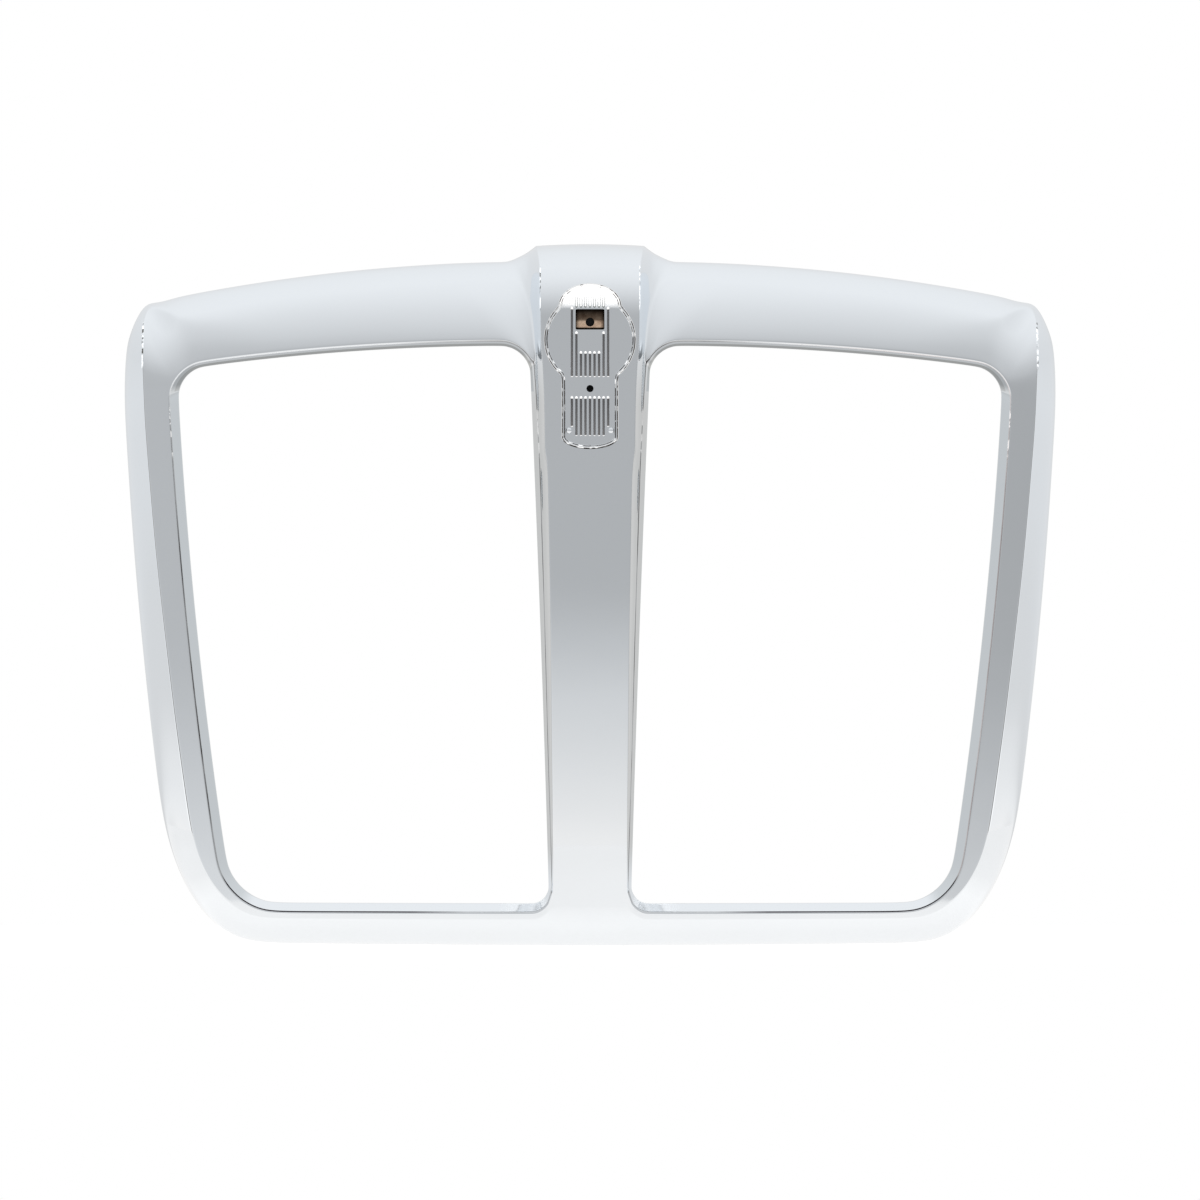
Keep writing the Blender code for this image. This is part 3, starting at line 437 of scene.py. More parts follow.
def post_rows(sections, fillet):
    """Rows of the post from the crown to the foot."""
    rows = [[s[0] for s in sections[:10]]]
    low = inner_corner("foot", 68, 1)[1]
    rows += [post_row(z, fillet) for z in (*POST_HEIGHTS, mix(POST_HEIGHTS[-1], low, 0.5), low)]
    rows.append([s[0] for s in reversed(sections[-10:])])
    return rows


def lip_loop(sections, rows, fillet):
    """Stations round the right window, each from the crease over the opening's edge to the rear of the wall there."""
    creases = [row[-1] for row in rows]
    creases += [s[0] for s in reversed(sections[10:-10])]
    edges = [inner_corner("top", 67, 0)]
    edges += [(window_post(z), z) for z in POST_HEIGHTS]
    edges += [inner_corner("foot", degrees, 0) for degrees in (79, 68, 50, *reversed(FOOT_TURNS))]
    for part, count in (*reversed(CLOCKWISE), ("top", TOP_STEPS)):
        edges += [opening(part, 1 - i / count, 0) for i in range(count)]
    edges.append(opening("top", 0.0, 0))
    edges += [inner_corner("top", degrees, 0) for degrees in reversed(TOP_TURNS)]
    loop = []
    for crease, edge in zip(creases, edges, strict=True):
        deep = mix(LIP_DEPTH, LIP_DEPTH_TOP, share_of(edge[1], *DEEP_LIP))
        depth = crease[1] + mix(deep, LIP_DEPTH_POST, share_of(edge[0], *POST_LIP))
        window = (edge[0], depth, edge[1])
        middle = tuple((a + b) / 2 for a, b in zip(crease, window))
        near = min(fillet, 0.4 * dist(crease, middle))
        rear = depth + RETURN
        loop.append([
            crease, towards(crease, middle, near), middle, towards(window, middle, near), window,
            (edge[0], depth + near, edge[1]), (edge[0], rear, edge[1]),
        ])
    return loop


# --- Building meshes ---
class Net:
    """Quads that share their corners wherever two patches meet."""

    def __init__(self):
        self.points, self.faces, self.found, self.slots = [], [], {}, {}

    def corner(self, u, d, z):
        key = (round(u, 6), round(d, 6), round(z, 6))
        if key not in self.found:
            self.found[key] = len(self.points)
            self.points.append(world(u, d, z))
        return self.found[key]

    def patch(self, rows, slots=None):
        """Faces between successive rows of points, once on each side. slots gives some strips a material slot."""
        for side in (1, -1):
            for row, following in zip(rows, rows[1:]):
                for strip, (a, b, c, d) in enumerate(zip(row, following, following[1:], row[1:])):
                    face = list(dict.fromkeys(self.corner(side * p[0], p[1], p[2]) for p in (a, b, c, d)))
                    if len(face) > 2:
                        if slots and strip in slots:
                            self.slots[len(self.faces)] = slots[strip]
                        self.faces.append(face if side == 1 else face[::-1])


def finished(name, bm):
    """A smooth mesh with its faces turned outwards."""
    bmesh.ops.recalc_face_normals(bm, faces=bm.faces)
    mesh = bpy.data.meshes.new(name)
    bm.to_mesh(mesh)
    bm.free()
    mesh.shade_smooth()
    return mesh


def mesh_from(name, points, faces):
    bm = bmesh.new()
    corners = [bm.verts.new(p) for p in points]
    for face in faces:
        bm.faces.new([corners[i] for i in face])
    return finished(name, bm)


def place(name, data, *materials):
    for material in materials:
        data.materials.append(material)
    ob = bpy.data.objects.new(name, data)
    bpy.context.scene.collection.objects.link(ob)
    return ob


def settled(ob):
    """Applies an object's modifiers."""
    bpy.context.view_layer.update()
    mesh = bpy.data.meshes.new_from_object(ob.evaluated_get(bpy.context.evaluated_depsgraph_get()))
    ob.modifiers.clear()
    old, ob.data = ob.data, mesh
    bpy.data.meshes.remove(old)
    return ob


def subdivided(ob):
    smooth = ob.modifiers.new("smooth", "SUBSURF")
    smooth.levels = smooth.render_levels = 2
    return settled(ob)


def ring_faces(count, rings):
    """Quads between successive rings of the same number of points."""
    faces = []
    for ring in range(rings - 1):
        for i in range(count):
            j = (i + 1) % count
            faces.append((ring * count + i, ring * count + j, (ring + 1) * count + j, (ring + 1) * count + i))
    return faces


def prism(name, loop, front, rear):
    """A loop of (x, z) points drawn out between two depths."""
    count = len(loop)
    points = [world(x, d, z) for d in (front, rear) for x, z in loop]
    faces = [tuple(range(count)), tuple(range(count, 2 * count)), *ring_faces(count, 2)]
    return mesh_from(name, points, faces)


def cut(ob, mesh):
    """Takes a mesh away from an object."""
    tool = place("tool", mesh)
    change = ob.modifiers.new("cut", "BOOLEAN")
    change.operation = "DIFFERENCE"
    change.object = tool
    settled(ob)
    bpy.data.objects.remove(tool)


def seat_outline(out, fine):
    """Right half of the seat's outline from its top to its foot, as (u, z): a dome, a disc and a tail.

    out widens it all round, and fine is how many times the CAD's number of points it has.
    """
    dome_u, dome_z = SEAT_DOME[0] + out, SEAT_DOME[1] + out
    points = []
    for i in range(7 * fine):
        turn = radians(90 * i / (7 * fine))
        points.append((dome_u * sin(turn), SEAT_BEND + dome_z * cos(turn)))
    radius = SEAT_R + out
    start = acos((SEAT_BEND - SEAT_Z) / radius)
    tail = SEAT_TAIL + out
    end = pi - asin(tail / radius)
    points.append((radius * sin(start) + 0.0010, SEAT_BEND))
    for i in range(1, 9 * fine + 1):
        turn = mix(start, end, i / (9 * fine))
        points.append((radius * sin(turn), SEAT_Z + radius * cos(turn)))
    top = points[-1][1]
    points += [(tail, mix(top, SEAT_TAIL_Z, i / (2 * fine))) for i in range(1, 2 * fine)]
    drop = SEAT_TAIL_Z - SEAT_FOOT + out
    for i in range(5 * fine + 1):
        turn = radians(90 * i / (5 * fine))
        points.append((tail * cos(turn), SEAT_TAIL_Z - drop * sin(turn)))
    points[0], points[-1] = (0.0, points[0][1]), (0.0, points[-1][1])
    return points


# --- The moulding ---
SKIN_SLOT, INSIDE_SLOT, CREASE_SHADE_SLOT, EDGE_SHADE_SLOT = range(4)
LIP_SLOTS = {0: CREASE_SHADE_SLOT, 2: EDGE_SHADE_SLOT, 3: EDGE_SHADE_SLOT, 4: EDGE_SHADE_SLOT}  # by strip, from the crease to the rear; the crease and edge slots carry painted shade
EDGE_FROM = 0.625  # height above which the window's edge gets its painted shade
RIM_CREASE = 0.7  # keeps the round on the wall's rear edge small


def cage(fillet):
    net = Net()
    sections = frame_sections(fillet)
    rows = post_rows(sections, fillet)
    net.patch(with_wall(sections, fillet))
    net.patch(rows)
    loop = lip_loop(sections, rows, fillet)
    net.patch([*loop, loop[0]], LIP_SLOTS)
    mesh = mesh_from("cage", net.points, net.faces)
    for i, slot in net.slots.items():
        face = mesh.polygons[i]
        face.material_index = slot if slot == CREASE_SHADE_SLOT or face.center.z > EDGE_FROM else SKIN_SLOT
    return mesh


def inner_skin(count):
    """The inside of the wall, from a cage with rounder edges, so that the inside doesn't fold over itself."""
    ob = place("inner", cage(INNER_FILLET))
    wall = ob.modifiers.new("wall", "SOLIDIFY")
    wall.thickness = SKIN
    wall.offset = -1
    wall.use_even_offset = True
    wall.use_rim = False
    settled(ob)
    points = [vertex.co.copy() for vertex in ob.data.vertices]
    bpy.data.objects.remove(ob)
    return points[count:]


def make_moulding(*looks):
    outer = cage(FILLET)
    count = len(outer.vertices)
    points = [vertex.co.copy() for vertex in outer.vertices] + inner_skin(count)
    bm = bmesh.new()
    creases = bm.edges.layers.float.new("crease_edge")
    corners = [bm.verts.new(point) for point in points]
    for polygon in outer.polygons:
        bm.faces.new([corners[i] for i in polygon.vertices]).material_index = polygon.material_index
    bm.verts.index_update()
    rims = [(edge.verts[0].index, edge.verts[1].index) for edge in bm.edges if edge.is_boundary]
    for polygon in outer.polygons:
        bm.faces.new([corners[count + i] for i in reversed(polygon.vertices)]).material_index = INSIDE_SLOT
    for a, b in rims:
        bm.faces.new((corners[b], corners[a], corners[count + a], corners[count + b]))
        for shift in (0, count):
            bm.edges.get((corners[a + shift], corners[b + shift]))[creases] = RIM_CREASE
    ob = subdivided(place("surround_moulding", finished("moulding", bm), *looks))
    uncut = place("uncut", ob.data.copy())
    half = seat_outline(0.0, 4)
    whole = half + [(-u, z) for u, z in reversed(half[1:-1])]
    cut(ob, prism("seat_cut", whole, -0.02, 0.05))
    keep = ob.modifiers.new("normals", "DATA_TRANSFER")
    keep.object = uncut
    keep.use_loop_data = True
    keep.data_types_loops = {"CUSTOM_NORMAL"}
    keep.loop_mapping = "POLYINTERP_NEAREST"
    settled(ob)
    bpy.data.objects.remove(uncut)
    return ob


# --- The badge seat ---
def seat_floor(z):
    return SEAT_FLOOR + max(0.0, z - SEAT_BEND) * SEAT_RAMP


def seat_rows():
    """Rows from the middle of the floor, over the rim, and back to the middle of the plate's rear."""
    outer = seat_outline(-GAP, 3)
    rows = []
    for (u, z), inward in zip(outer, inwards(outer)):

        def at(reach):
            return max(0.0, u + inward.x * reach), z + inward.y * reach

        wide, face, rear = SEAT_RIM, crown_depth(z) - SEAT_PROUD, seat_floor(z) + SEAT_PLATE
        half, height = at(wide)
        floor = seat_floor(height)
        row = [(half * share, floor, height) for share in (0.0, 0.4, 0.75, 0.92)]
        steps = [(wide + 0.0007, floor), (wide, floor), (wide, floor - 0.0006), (wide - 0.0002, face + 0.0010)]
        steps += [(wide * 0.68, face + 0.0001), (wide * 0.5, face), (wide * 0.32, face + 0.0001)]
        steps += [(0.0002, face + 0.0010), (0.0, face + 0.0022), (0.0, rear - 0.0004), (0.0, rear), (0.0005, rear)]
        for reach, depth in steps:
            x, height = at(reach)
            row.append((x, depth, height))
        row += [(at(0.004)[0] * 0.5, rear, z), (0.0, rear, z)]
        rows.append(row)
    return rows


TIP = 0.0028  # length of a rib's upper end that gets the painted highlight
DOME_RIBS = 0.71  # ribs that start above this height are on the dome
# slots of the ribs: painted shade along them, painted highlight on the ends, chrome, and painted shade on the dome's
# flanks
ALONG_SHADE_SLOT, TIP_HIGHLIGHT_SLOT, CHROME_SLOT, GROOVE_SHADE_SLOT = range(4)


def pill(x, foot, head):
    """A raised rib with round ends that follows the floor over its bend."""
    half, ends = BAR_WIDTH / 2, (0, 25, 50, 70, 90)
    sizes = [sin(radians(max(a, 8))) for a in ends]
    drawn_in = [half * (1 - cos(radians(a))) for a in ends]
    rings = [(foot + reach, size) for reach, size in zip(drawn_in, sizes)]
    rings += [(head - reach, size) for reach, size in reversed(list(zip(drawn_in, sizes)))]
    for z in (head - TIP, SEAT_BEND):
        if rings[4][0] < z < rings[5][0]:
            rings.insert(5, (z, 1.0))
    arc = [radians(a) for a in (0, 18, 38, 62, 90, 118, 142, 162, 180)]
    points = []
    for z, size in rings:
        for a in arc:
            reach = copysign(abs(cos(a)) ** 0.8, cos(a))
            rise = sin(a) ** 0.8 * BAR_HEIGHT * size
            points.append(world(x + half * size * reach, seat_floor(z) + 0.0002 - rise, z))
    count = len(arc)
    caps = [tuple(range(count)), tuple(range(len(points) - count, len(points)))]
    return points, ring_faces(count, len(rings)) + caps


def rib_spans():
    """Which line of the grid each rib is on, its foot and its head."""
    found = [(i, 0.5845 if abs(i) == 4 else 0.5742, 0.6190) for i in range(-4, 5)]
    found += [(i, 0.6403, 0.7190) for i in (-4, 4)]
    found += [(i, 0.6403, 0.6915) for i in (-3, 3)]
    found += [(i, 0.6403, 0.6694) for i in range(-2, 3)]
    return found + [(i, 0.7180, 0.7305) for i in range(-3, 4)]


def pills():
    points, faces = [], []
    for i, foot, head in rib_spans():
        more, made = pill(i * BAR_PITCH, foot, head)
        faces += [tuple(len(points) + n for n in face) for face in made]
        points += more
    return mesh_from("ribs", points, faces)


def paint_ribs(mesh):
    """A painted highlight on the ends of each rib, and painted shade along its middle. On the dome the flanks get
    painted shade.
    """
    for face in mesh.polygons:
        line, z = round(face.center.x / BAR_PITCH), face.center.z
        off = abs(face.center.x - line * BAR_PITCH)
        foot, head = max((foot, head) for i, foot, head in rib_spans() if i == line and foot - 0.001 < z < head + 0.001)
        if foot > DOME_RIBS:
            slot = GROOVE_SHADE_SLOT if off > 0.0006 or z < foot + 0.0016 else TIP_HIGHLIGHT_SLOT
        elif z < foot + 0.0012 or z > head - TIP:
            slot = TIP_HIGHLIGHT_SLOT
        else:
            slot = CHROME_SLOT if off > 0.0011 else ALONG_SHADE_SLOT
        face.material_index = slot


def make_seat(chrome, rim):
    net = Net()
    net.patch(seat_rows())
    ob = place("badge_seat_plate", mesh_from("seat", net.points, net.faces), chrome, rim)
    for face in ob.data.polygons:  # painted dark and white reflections down the two flanks of the rim
        behind = face.center.y - FRONT_Y - (crown_depth(face.center.z) - SEAT_PROUD)
        face.material_index = 1 if abs(face.normal.y) < 0.86 and behind < 0.003 else 0
    subdivided(ob)
    half, low, high = SEAT_WINDOW
    loop = rounded(half, (high - low) / 2, 0.0016)
    cut(ob, prism("window", [(x, (high + low) / 2 + z) for x, z in loop], -0.01, 0.03))
    middle, radius = SEAT_HOLE
    turns = [2 * pi * (i + 0.25) / 32 for i in range(32)]
    hole = [(radius * cos(t), middle + radius * sin(t)) for t in turns]
    cut(ob, prism("hole", hole, -0.01, 0.03))
    ob.data.set_sharp_from_angle(angle=radians(40))
    return ob


def rounded(half, tall, radius):
    """A rectangle with round corners, about its middle."""
    loop = []
    for cx, cz, start in ((1, 1, 0), (-1, 1, 90), (-1, -1, 180), (1, -1, 270)):
        for i in range(5):
            turn = radians(start + 90 * i / 4)
            x, z = cx * (half - radius), cz * (tall - radius)
            loop.append((x + radius * cos(turn), z + radius * sin(turn)))
    return loop


def make_dome(name, x, z, material):
    """The domed head of a seat screw, with its shank, turned about its axis."""
    seat, radius, sides = SEAT_FLOOR - GAP, SEAT_SCREW_HEAD, 32
    rings = []
    for degrees in (12, 28, 44, 60, 76, 88):
        turn = radians(degrees)
        rings.append((radius * sin(turn), seat - 0.0003 - 0.0014 * cos(turn)))
    rings += [(radius, seat), (SCREW_SHANK, seat), (SCREW_SHANK, SCREW_END)]
    turns = [2 * pi * i / sides for i in range(sides)]
    points = [world(x + r * cos(t), d, z + r * sin(t)) for r, d in rings for t in turns]
    points += [world(x, seat - 0.0017, z), world(x, SCREW_END, z)]
    faces, last = ring_faces(sides, len(rings)), (len(rings) - 1) * sides
    for i in range(sides):
        j = (i + 1) % sides
        faces += [(len(points) - 2, j, i), (len(points) - 1, last + i, last + j)]
    mesh = mesh_from(name, points, faces)
    mesh.set_sharp_from_angle(angle=radians(50))
    return place(name, mesh, material)


# --- Materials ---
CHROME = (0.845, 0.885, 0.925)
# painted shade on the lips that face in towards the middle
LIP_PAINTED_SHADE = (0.66, 0.70, 0.73)
WHITE = (1.0, 1.0, 1.0)
WAVE = 0.00003  # height of the faint waviness of moulded plastic under the plating
CREASE_GLINTS = ((0.550, 0.0), (0.556, 1.0), (0.602, 1.0), (0.608, 0.0))  # height, and how much of them is left
RIM_GLINTS = ((0.566, 1.0), (0.572, 0.0), (0.628, 0.0), (0.636, 1.0), (0.680, 1.0), (0.700, 0.0))
GLINTING_EDGES = (  # upright edges with painted dark and white glints on both sides: |X|, half the line's width, its foot and its head
    (0.5043, 0.0013, 0.652, 0.703), (0.0558, 0.0008, 0.716, 0.764),
)
BROWN = ((0.20, 0.13, 0.09), (0.42, 0.32, 0.24), 0.30, 90.0)
STRAP_PAINTED_LIGHT = (  # painted light and shade on the strap: share of the seat window's height, and how bright it is painted there
    (0.0, 0.02), (0.09, 0.03), (0.14, 2.6), (0.40, 2.0), (0.50, 0.55), (0.8, 0.20), (0.92, 0.05), (1.0, 0.02),
)


class Wiring:
    """The nodes of a material or of the world. A value is a number, a colour or the output of another node."""

    def __init__(self, tree):
        self.tree = tree
        self.shader = tree.nodes.get("Principled BSDF")

    def add(self, kind, **settings):
        made = self.tree.nodes.new("ShaderNode" + kind)
        for name, value in settings.items():
            setattr(made, name, value)
        return made

    def feed(self, socket, value):
        if isinstance(value, bpy.types.NodeSocket):
            self.tree.links.new(value, socket)
        else:
            socket.default_value = (*value, 1.0) if isinstance(value, tuple) else value

    def look(self, **values):
        """Feeds the shader. Base_Color stands for the socket Base Color."""
        for name, value in values.items():
            self.feed(self.shader.inputs[name.replace("_", " ")], value)

    def maths(self, operation, a, b=0.0):
        made = self.add("Math", operation=operation)
        self.feed(made.inputs[0], a)
        self.feed(made.inputs[1], b)
        return made.outputs[0]

    def product(self, first, *others):
        for other in others:
            first = self.maths("MULTIPLY", first, other)
        return first

    def scaled(self, value, low, high, to=(0.0, 1.0), smooth=False):
        """Runs from one end of "to" to the other while the value runs from low to high."""
        made = self.add("MapRange", interpolation_type="SMOOTHSTEP" if smooth else "LINEAR")
        for name, number in zip(("Value", "From Min", "From Max", "To Min", "To Max"), (value, low, high, *to)):
            self.feed(made.inputs[name], number)
        return made.outputs["Result"]

    def blend(self, share, a, b, kind="MIX"):
        made = self.add("Mix", data_type="RGBA", blend_type=kind)
        for index, value in ((0, share), (6, a), (7, b)):
            self.feed(made.inputs[index], value)
        return made.outputs[2]

    def ramp(self, source, *stops):
        """A colour ramp with (position, number or colour) stops."""
        made = self.add("ValToRGB")
        elements = made.color_ramp.elements
        while len(elements) < len(stops):
            elements.new(0.5)
        for element, (position, value) in zip(elements, stops):
            element.position = position
            element.color = (*value, 1) if isinstance(value, tuple) else (value, value, value, 1)
        self.feed(made.inputs["Fac"], source)
        return made.outputs["Color"]

    def noise(self, scale, detail):
        made = self.add("TexNoise")
        made.inputs["Scale"].default_value = scale
        made.inputs["Detail"].default_value = detail
        self.feed(made.inputs["Vector"], self.add("TexCoord").outputs["Object"])
        return made.outputs["Fac"]

    def split(self, space="Object"):
        """X, Y and Z of a texture coordinate."""
        made = self.add("SeparateXYZ")
        self.feed(made.inputs[0], self.add("TexCoord").outputs[space])
        return made.outputs

    def bump(self, height, strength, distance):
        made = self.add("Bump")
        made.inputs["Strength"].default_value = strength
        made.inputs["Distance"].default_value = distance
        self.feed(made.inputs["Height"], height)
        self.look(Normal=made.outputs["Normal"])

    def whiten(self, share, glow, metallic=1.0):
        """Turns metal to a white that glows, as far as the share says."""
        self.look(Metallic=self.maths("MULTIPLY", metallic, self.scaled(share, 0.0, 1.0, (1.0, 0.0))))
        self.look(Emission_Strength=self.scaled(share, 0.0, 1.0, (0.0, glow)), Emission_Color=WHITE)

    def glints(self, grain, low, high, heights):
        """White glints where the grain is high, at some heights."""
        there = self.ramp(self.split()["Z"], *heights)
        self.whiten(self.product(self.ramp(grain, (low, 0.0), (high, 1.0)), there), 0.35)


def material(name, colour, metallic, roughness):
    made = bpy.data.materials.new(name)
    made.use_nodes = True
    wires = Wiring(made.node_tree)
    wires.look(Base_Color=colour, Metallic=metallic, Roughness=roughness)
    return made, wires


def make_chrome(name, roughness=0.03, spread=0.04, wave=WAVE):
    """Plating with a little haze that varies, over plastic that is faintly wavy."""
    made, wires = material(name, CHROME, 1.0, roughness)
    wires.look(Roughness=wires.ramp(wires.noise(9.0, 4.0), (0.3, roughness), (0.75, roughness + spread)))
    wires.bump(wires.noise(22.0, 1.0), 1.0, wave)
    return made, wires


def make_crease_shade():
    """Painted shade down the crease round each window, in place of dark reflections: brighter along the top rail, and
    darkest along the foot.
    """
    made, wires = make_chrome("crease_painted_shade", 0.12, 0.06)
    x, _, z = wires.split()
    across = wires.maths("ABSOLUTE", x)
    # Painted reflection: dark and grey patches, chrome along the top rail, a pale tint on the right, near black along
    # the foot but paler by the post.
    colour = wires.ramp(wires.noise(14.0, 3.0), (0.35, (0.05, 0.045, 0.045)), (0.62, (0.42, 0.43, 0.44)))
    painted_top_rail = wires.product(wires.scaled(z, 0.58, 0.64), wires.scaled(across, 0.10, 0.22))
    colour = wires.blend(painted_top_rail, colour, CHROME)
    colour = wires.blend(wires.scaled(x, 0.20, 0.32, (0.0, 0.55)), colour, (0.80, 0.74, 0.74))
    foot = wires.ramp(z, (0.072, 1.0), (0.082, 0.0))
    colour = wires.blend(foot, colour, (0.03, 0.025, 0.03))
    by_post = wires.ramp(across, (0.14, 1.0), (0.20, 0.0))
    wires.look(Base_Color=wires.blend(wires.product(foot, by_post), colour, (0.60, 0.62, 0.64)))
    # Painted highlights: white glints that glow, at some heights.
    wires.glints(wires.noise(110.0, 2.0), 0.50, 0.54, CREASE_GLINTS)
    return made


def make_edge_shade():
    """Painted shade on the edge of each window, darker along the top rail, where it faces the floor."""
    made, wires = make_chrome("edge_painted_shade", 0.06, 0.04)
    painted_top_rail = wires.scaled(wires.split()["Z"], EDGE_FROM, EDGE_FROM + 0.030)
    # Painted shade: grey plating colours in place of the chrome's reflections, darker higher up.
    wires.look(Base_Color=wires.blend(painted_top_rail, (0.53, 0.56, 0.58), (0.48, 0.50, 0.50)))
    return made


def make_skin_with_painted_shade():
    """The moulding's plating, with painted shade down the post's flanks and on the side lips, and painted dark and
    white glints on sharp edges.
    """
    made, wires = make_chrome("moulding_plating_and_painted_shade")
    x, _, z = wires.split()
    facing_x, _, facing_z = wires.split("Normal")
    across = wires.maths("ABSOLUTE", x)

    def share(value, low, high):
        return wires.scaled(value, low, high, smooth=True)

    # Painted shade: the post's flanks and the lips that face the middle are painted a darker grey.
    flank = wires.product(share(wires.maths("ABSOLUTE", facing_x), 0.45, 0.8), share(across, 0.090, 0.075))
    flank = wires.product(flank, share(z, 0.07, 0.12), share(z, 0.70, 0.60))
    colour = wires.blend(flank, CHROME, (0.66, 0.67, 0.67))
    colour = wires.blend(share(wires.product(facing_x, x), -0.10, -0.20), colour, LIP_PAINTED_SHADE)
    # Near the post's foot, faces that look up lose up to half their metal and show lit white: painted light.
    bloom = wires.product(share(facing_z, 0.3, 0.5), share(z, 0.062, 0.055), share(across, 0.105, 0.085))
    lines = []
    for middle, half, foot, head in GLINTING_EDGES:
        off = wires.maths("ABSOLUTE", wires.maths("SUBTRACT", across, middle))
        ends = wires.product(share(z, foot - 0.003, foot + 0.003), share(z, head + 0.003, head - 0.003))
        lines.append(wires.product(share(off, half, half * 0.4), ends))
    line = wires.maths("ADD", *lines)
    # Painted glints: dark marks and glowing white marks along the listed edges.
    grain = wires.noise(170.0, 2.0)
    dark = wires.product(line, share(grain, 0.44, 0.38))
    wires.look(Base_Color=wires.blend(dark, colour, (0.16, 0.16, 0.15)))
    wires.whiten(wires.product(line, share(grain, 0.50, 0.56)), 0.4, wires.scaled(bloom, 0.0, 1.0, (1.0, 0.5)))
    return made


def make_seat_chrome_with_highlight():
    """The seat's plating, with a painted white highlight that glows over the sloping dome above its bend."""
    made, wires = make_chrome("seat_plating_painted_highlight")
    # Painted highlight: above the bend the dome turns white, less metal, and glowing.
    rise = wires.scaled(wires.split()["Z"], SEAT_BEND - 0.003, SEAT_BEND + 0.004)
    wires.look(Base_Color=wires.blend(rise, CHROME, (0.99, 0.995, 1.0)))
    wires.whiten(rise, 0.22)
    return made


def make_rim_reflection():
    """Painted dark and white reflections down the flanks of the seat's rim, broken up by noise, with glowing white
    glints.
    """
    made, wires = make_chrome("rim_painted_reflection", 0.25, 0.10)
    grain = wires.noise(130.0, 2.0)
    # Painted reflection: dark and white patches.
    wires.look(Base_Color=wires.ramp(grain, (0.50, (0.055, 0.040, 0.030)), (0.58, (0.95, 0.95, 0.94))))
    wires.glints(grain, 0.55, 0.61, RIM_GLINTS)
    return made


def make_rib_painted_looks():
    """Painted shade along the ribs, a glowing painted highlight on their ends, and painted shade on the flanks of the
    ribs on the dome.
    """
    rib_shade, wires = make_chrome("rib_painted_shade", 0.10, 0.06)
    # Painted shade: a dark grey in place of the ribs' reflections.
    wires.look(Base_Color=(0.20, 0.20, 0.205))
    # Painted highlight: white, not metal, and glowing.
    tip_highlight, wires = material("tip_painted_highlight", (0.99, 0.995, 1.0), 0.0, 0.15)
    wires.look(Emission_Color=WHITE, Emission_Strength=0.25)
    groove_shade, wires = material("groove_painted_shade", CHROME, 0.0, 0.4)
    # Painted shade on the dome's flanks: dark low down, pale higher up.
    groove_shade_fade = ((0.7215, (0.20, 0.235, 0.235)), (0.7295, (0.90, 0.91, 0.92)))
    wires.look(Base_Color=wires.ramp(wires.split()["Z"], *groove_shade_fade))
    return rib_shade, tip_highlight, groove_shade


def make_steel(name, dark, light, roughness, scale):
    """Zinc-plated steel: a fine spangle and patches of dullness."""
    made, wires = material(name, light, 1.0, roughness)
    wires.look(Base_Color=wires.ramp(wires.noise(scale, 6.0), (0.35, dark), (0.68, light)))
    grain = wires.noise(scale * 9, 2.0)
    wires.look(Roughness=wires.ramp(grain, (0.3, roughness - 0.08), (0.7, roughness + 0.1)))
    wires.bump(grain, 0.25, 0.0002)
    return made, wires


def make_strap_steel():
    """The brown plating of the strap, with painted light and shade in bands behind the seat's window, and painted shade
    towards its sides.
    """
    made, wires = make_steel("strap_plating_and_painted_light", *BROWN)
    half, low, high = SEAT_WINDOW
    x, _, z = wires.split()
    # Painted light and shade in bands up the window, and painted shade towards the window's sides.
    painted_light_bands = wires.ramp(wires.scaled(z, low, high), *STRAP_PAINTED_LIGHT)
    sides = wires.scaled(wires.maths("ABSOLUTE", x), half, half - 0.0047, (0.06, 1.0))
    colour = wires.shader.inputs["Base Color"].links[0].from_socket
    for shade in (painted_light_bands, sides):
        colour = wires.blend(1.0, colour, shade, "MULTIPLY")
    wires.look(Base_Color=colour)
    return made


def make_paint(name, colour):
    """Satin black paint with a fine orange peel."""
    made, wires = material(name, colour, 0.0, 0.38)
    wires.look(Specular_IOR_Level=0.15)
    wires.bump(wires.noise(420.0, 2.0), 0.3, 0.0002)
    wires.look(Roughness=wires.ramp(wires.noise(14.0, 5.0), (0.3, 0.33), (0.75, 0.5)))
    return made


def make_foam(name):
    """Closed-cell foam: open pores on a cut face."""
    made, wires = material(name, (0.018, 0.018, 0.019), 0.0, 0.9)
    cells = wires.add("TexVoronoi")
    cells.inputs["Scale"].default_value = 900.0
    cells.inputs["Detail"].default_value = 3.0
    wires.feed(cells.inputs["Vector"], wires.add("TexCoord").outputs["Object"])
    depth = cells.outputs["Distance"]
    wires.bump(depth, 0.7, 0.0006)
    # Painted shade: the foam is darker in its pores.
    wires.look(Base_Color=wires.ramp(depth, (0.0, (0.008, 0.008, 0.009)), (0.6, (0.035, 0.035, 0.037))))
    return made


# --- Light, floor and camera ---
AHEAD = (  # height of a direction, and the level that chrome shows
    (-1.0, 242), (-0.29, 241), (-0.22, 236), (-0.157, 226), (-0.116, 217), (-0.079, 209), (-0.04, 193), (0.0, 177),
    (0.05, 178), (0.17, 192), (0.36, 207), (0.53, 216), (0.72, 224), (0.81, 228), (0.9, 232), (1.0, 236),
)
BESIDE = (
    (-1.0, 241), (-0.20, 240), (-0.15, 236), (-0.13, 229), (-0.107, 214), (-0.083, 214), (-0.055, 219), (0.0, 222),
    (0.10, 218), (0.4, 222), (0.75, 232), (1.0, 236),
)
SIDEWAYS = ((0, 0.0), (28, 0.0), (62, 1.0), (180, 1.0))  # degrees from straight ahead, and the share of BESIDE
STANDS = (  # black and white panels on stands at both sides: degrees from straight ahead, and how much light is left
    (0, 1.0), (44, 1.0), (47, (0.40, 0.29, 0.20)), (50, 0.30), (66, 0.30), (69, 1.3), (73, 1.3), (78, 1.0),
    (140, 1.0), (180, 0.92),
)
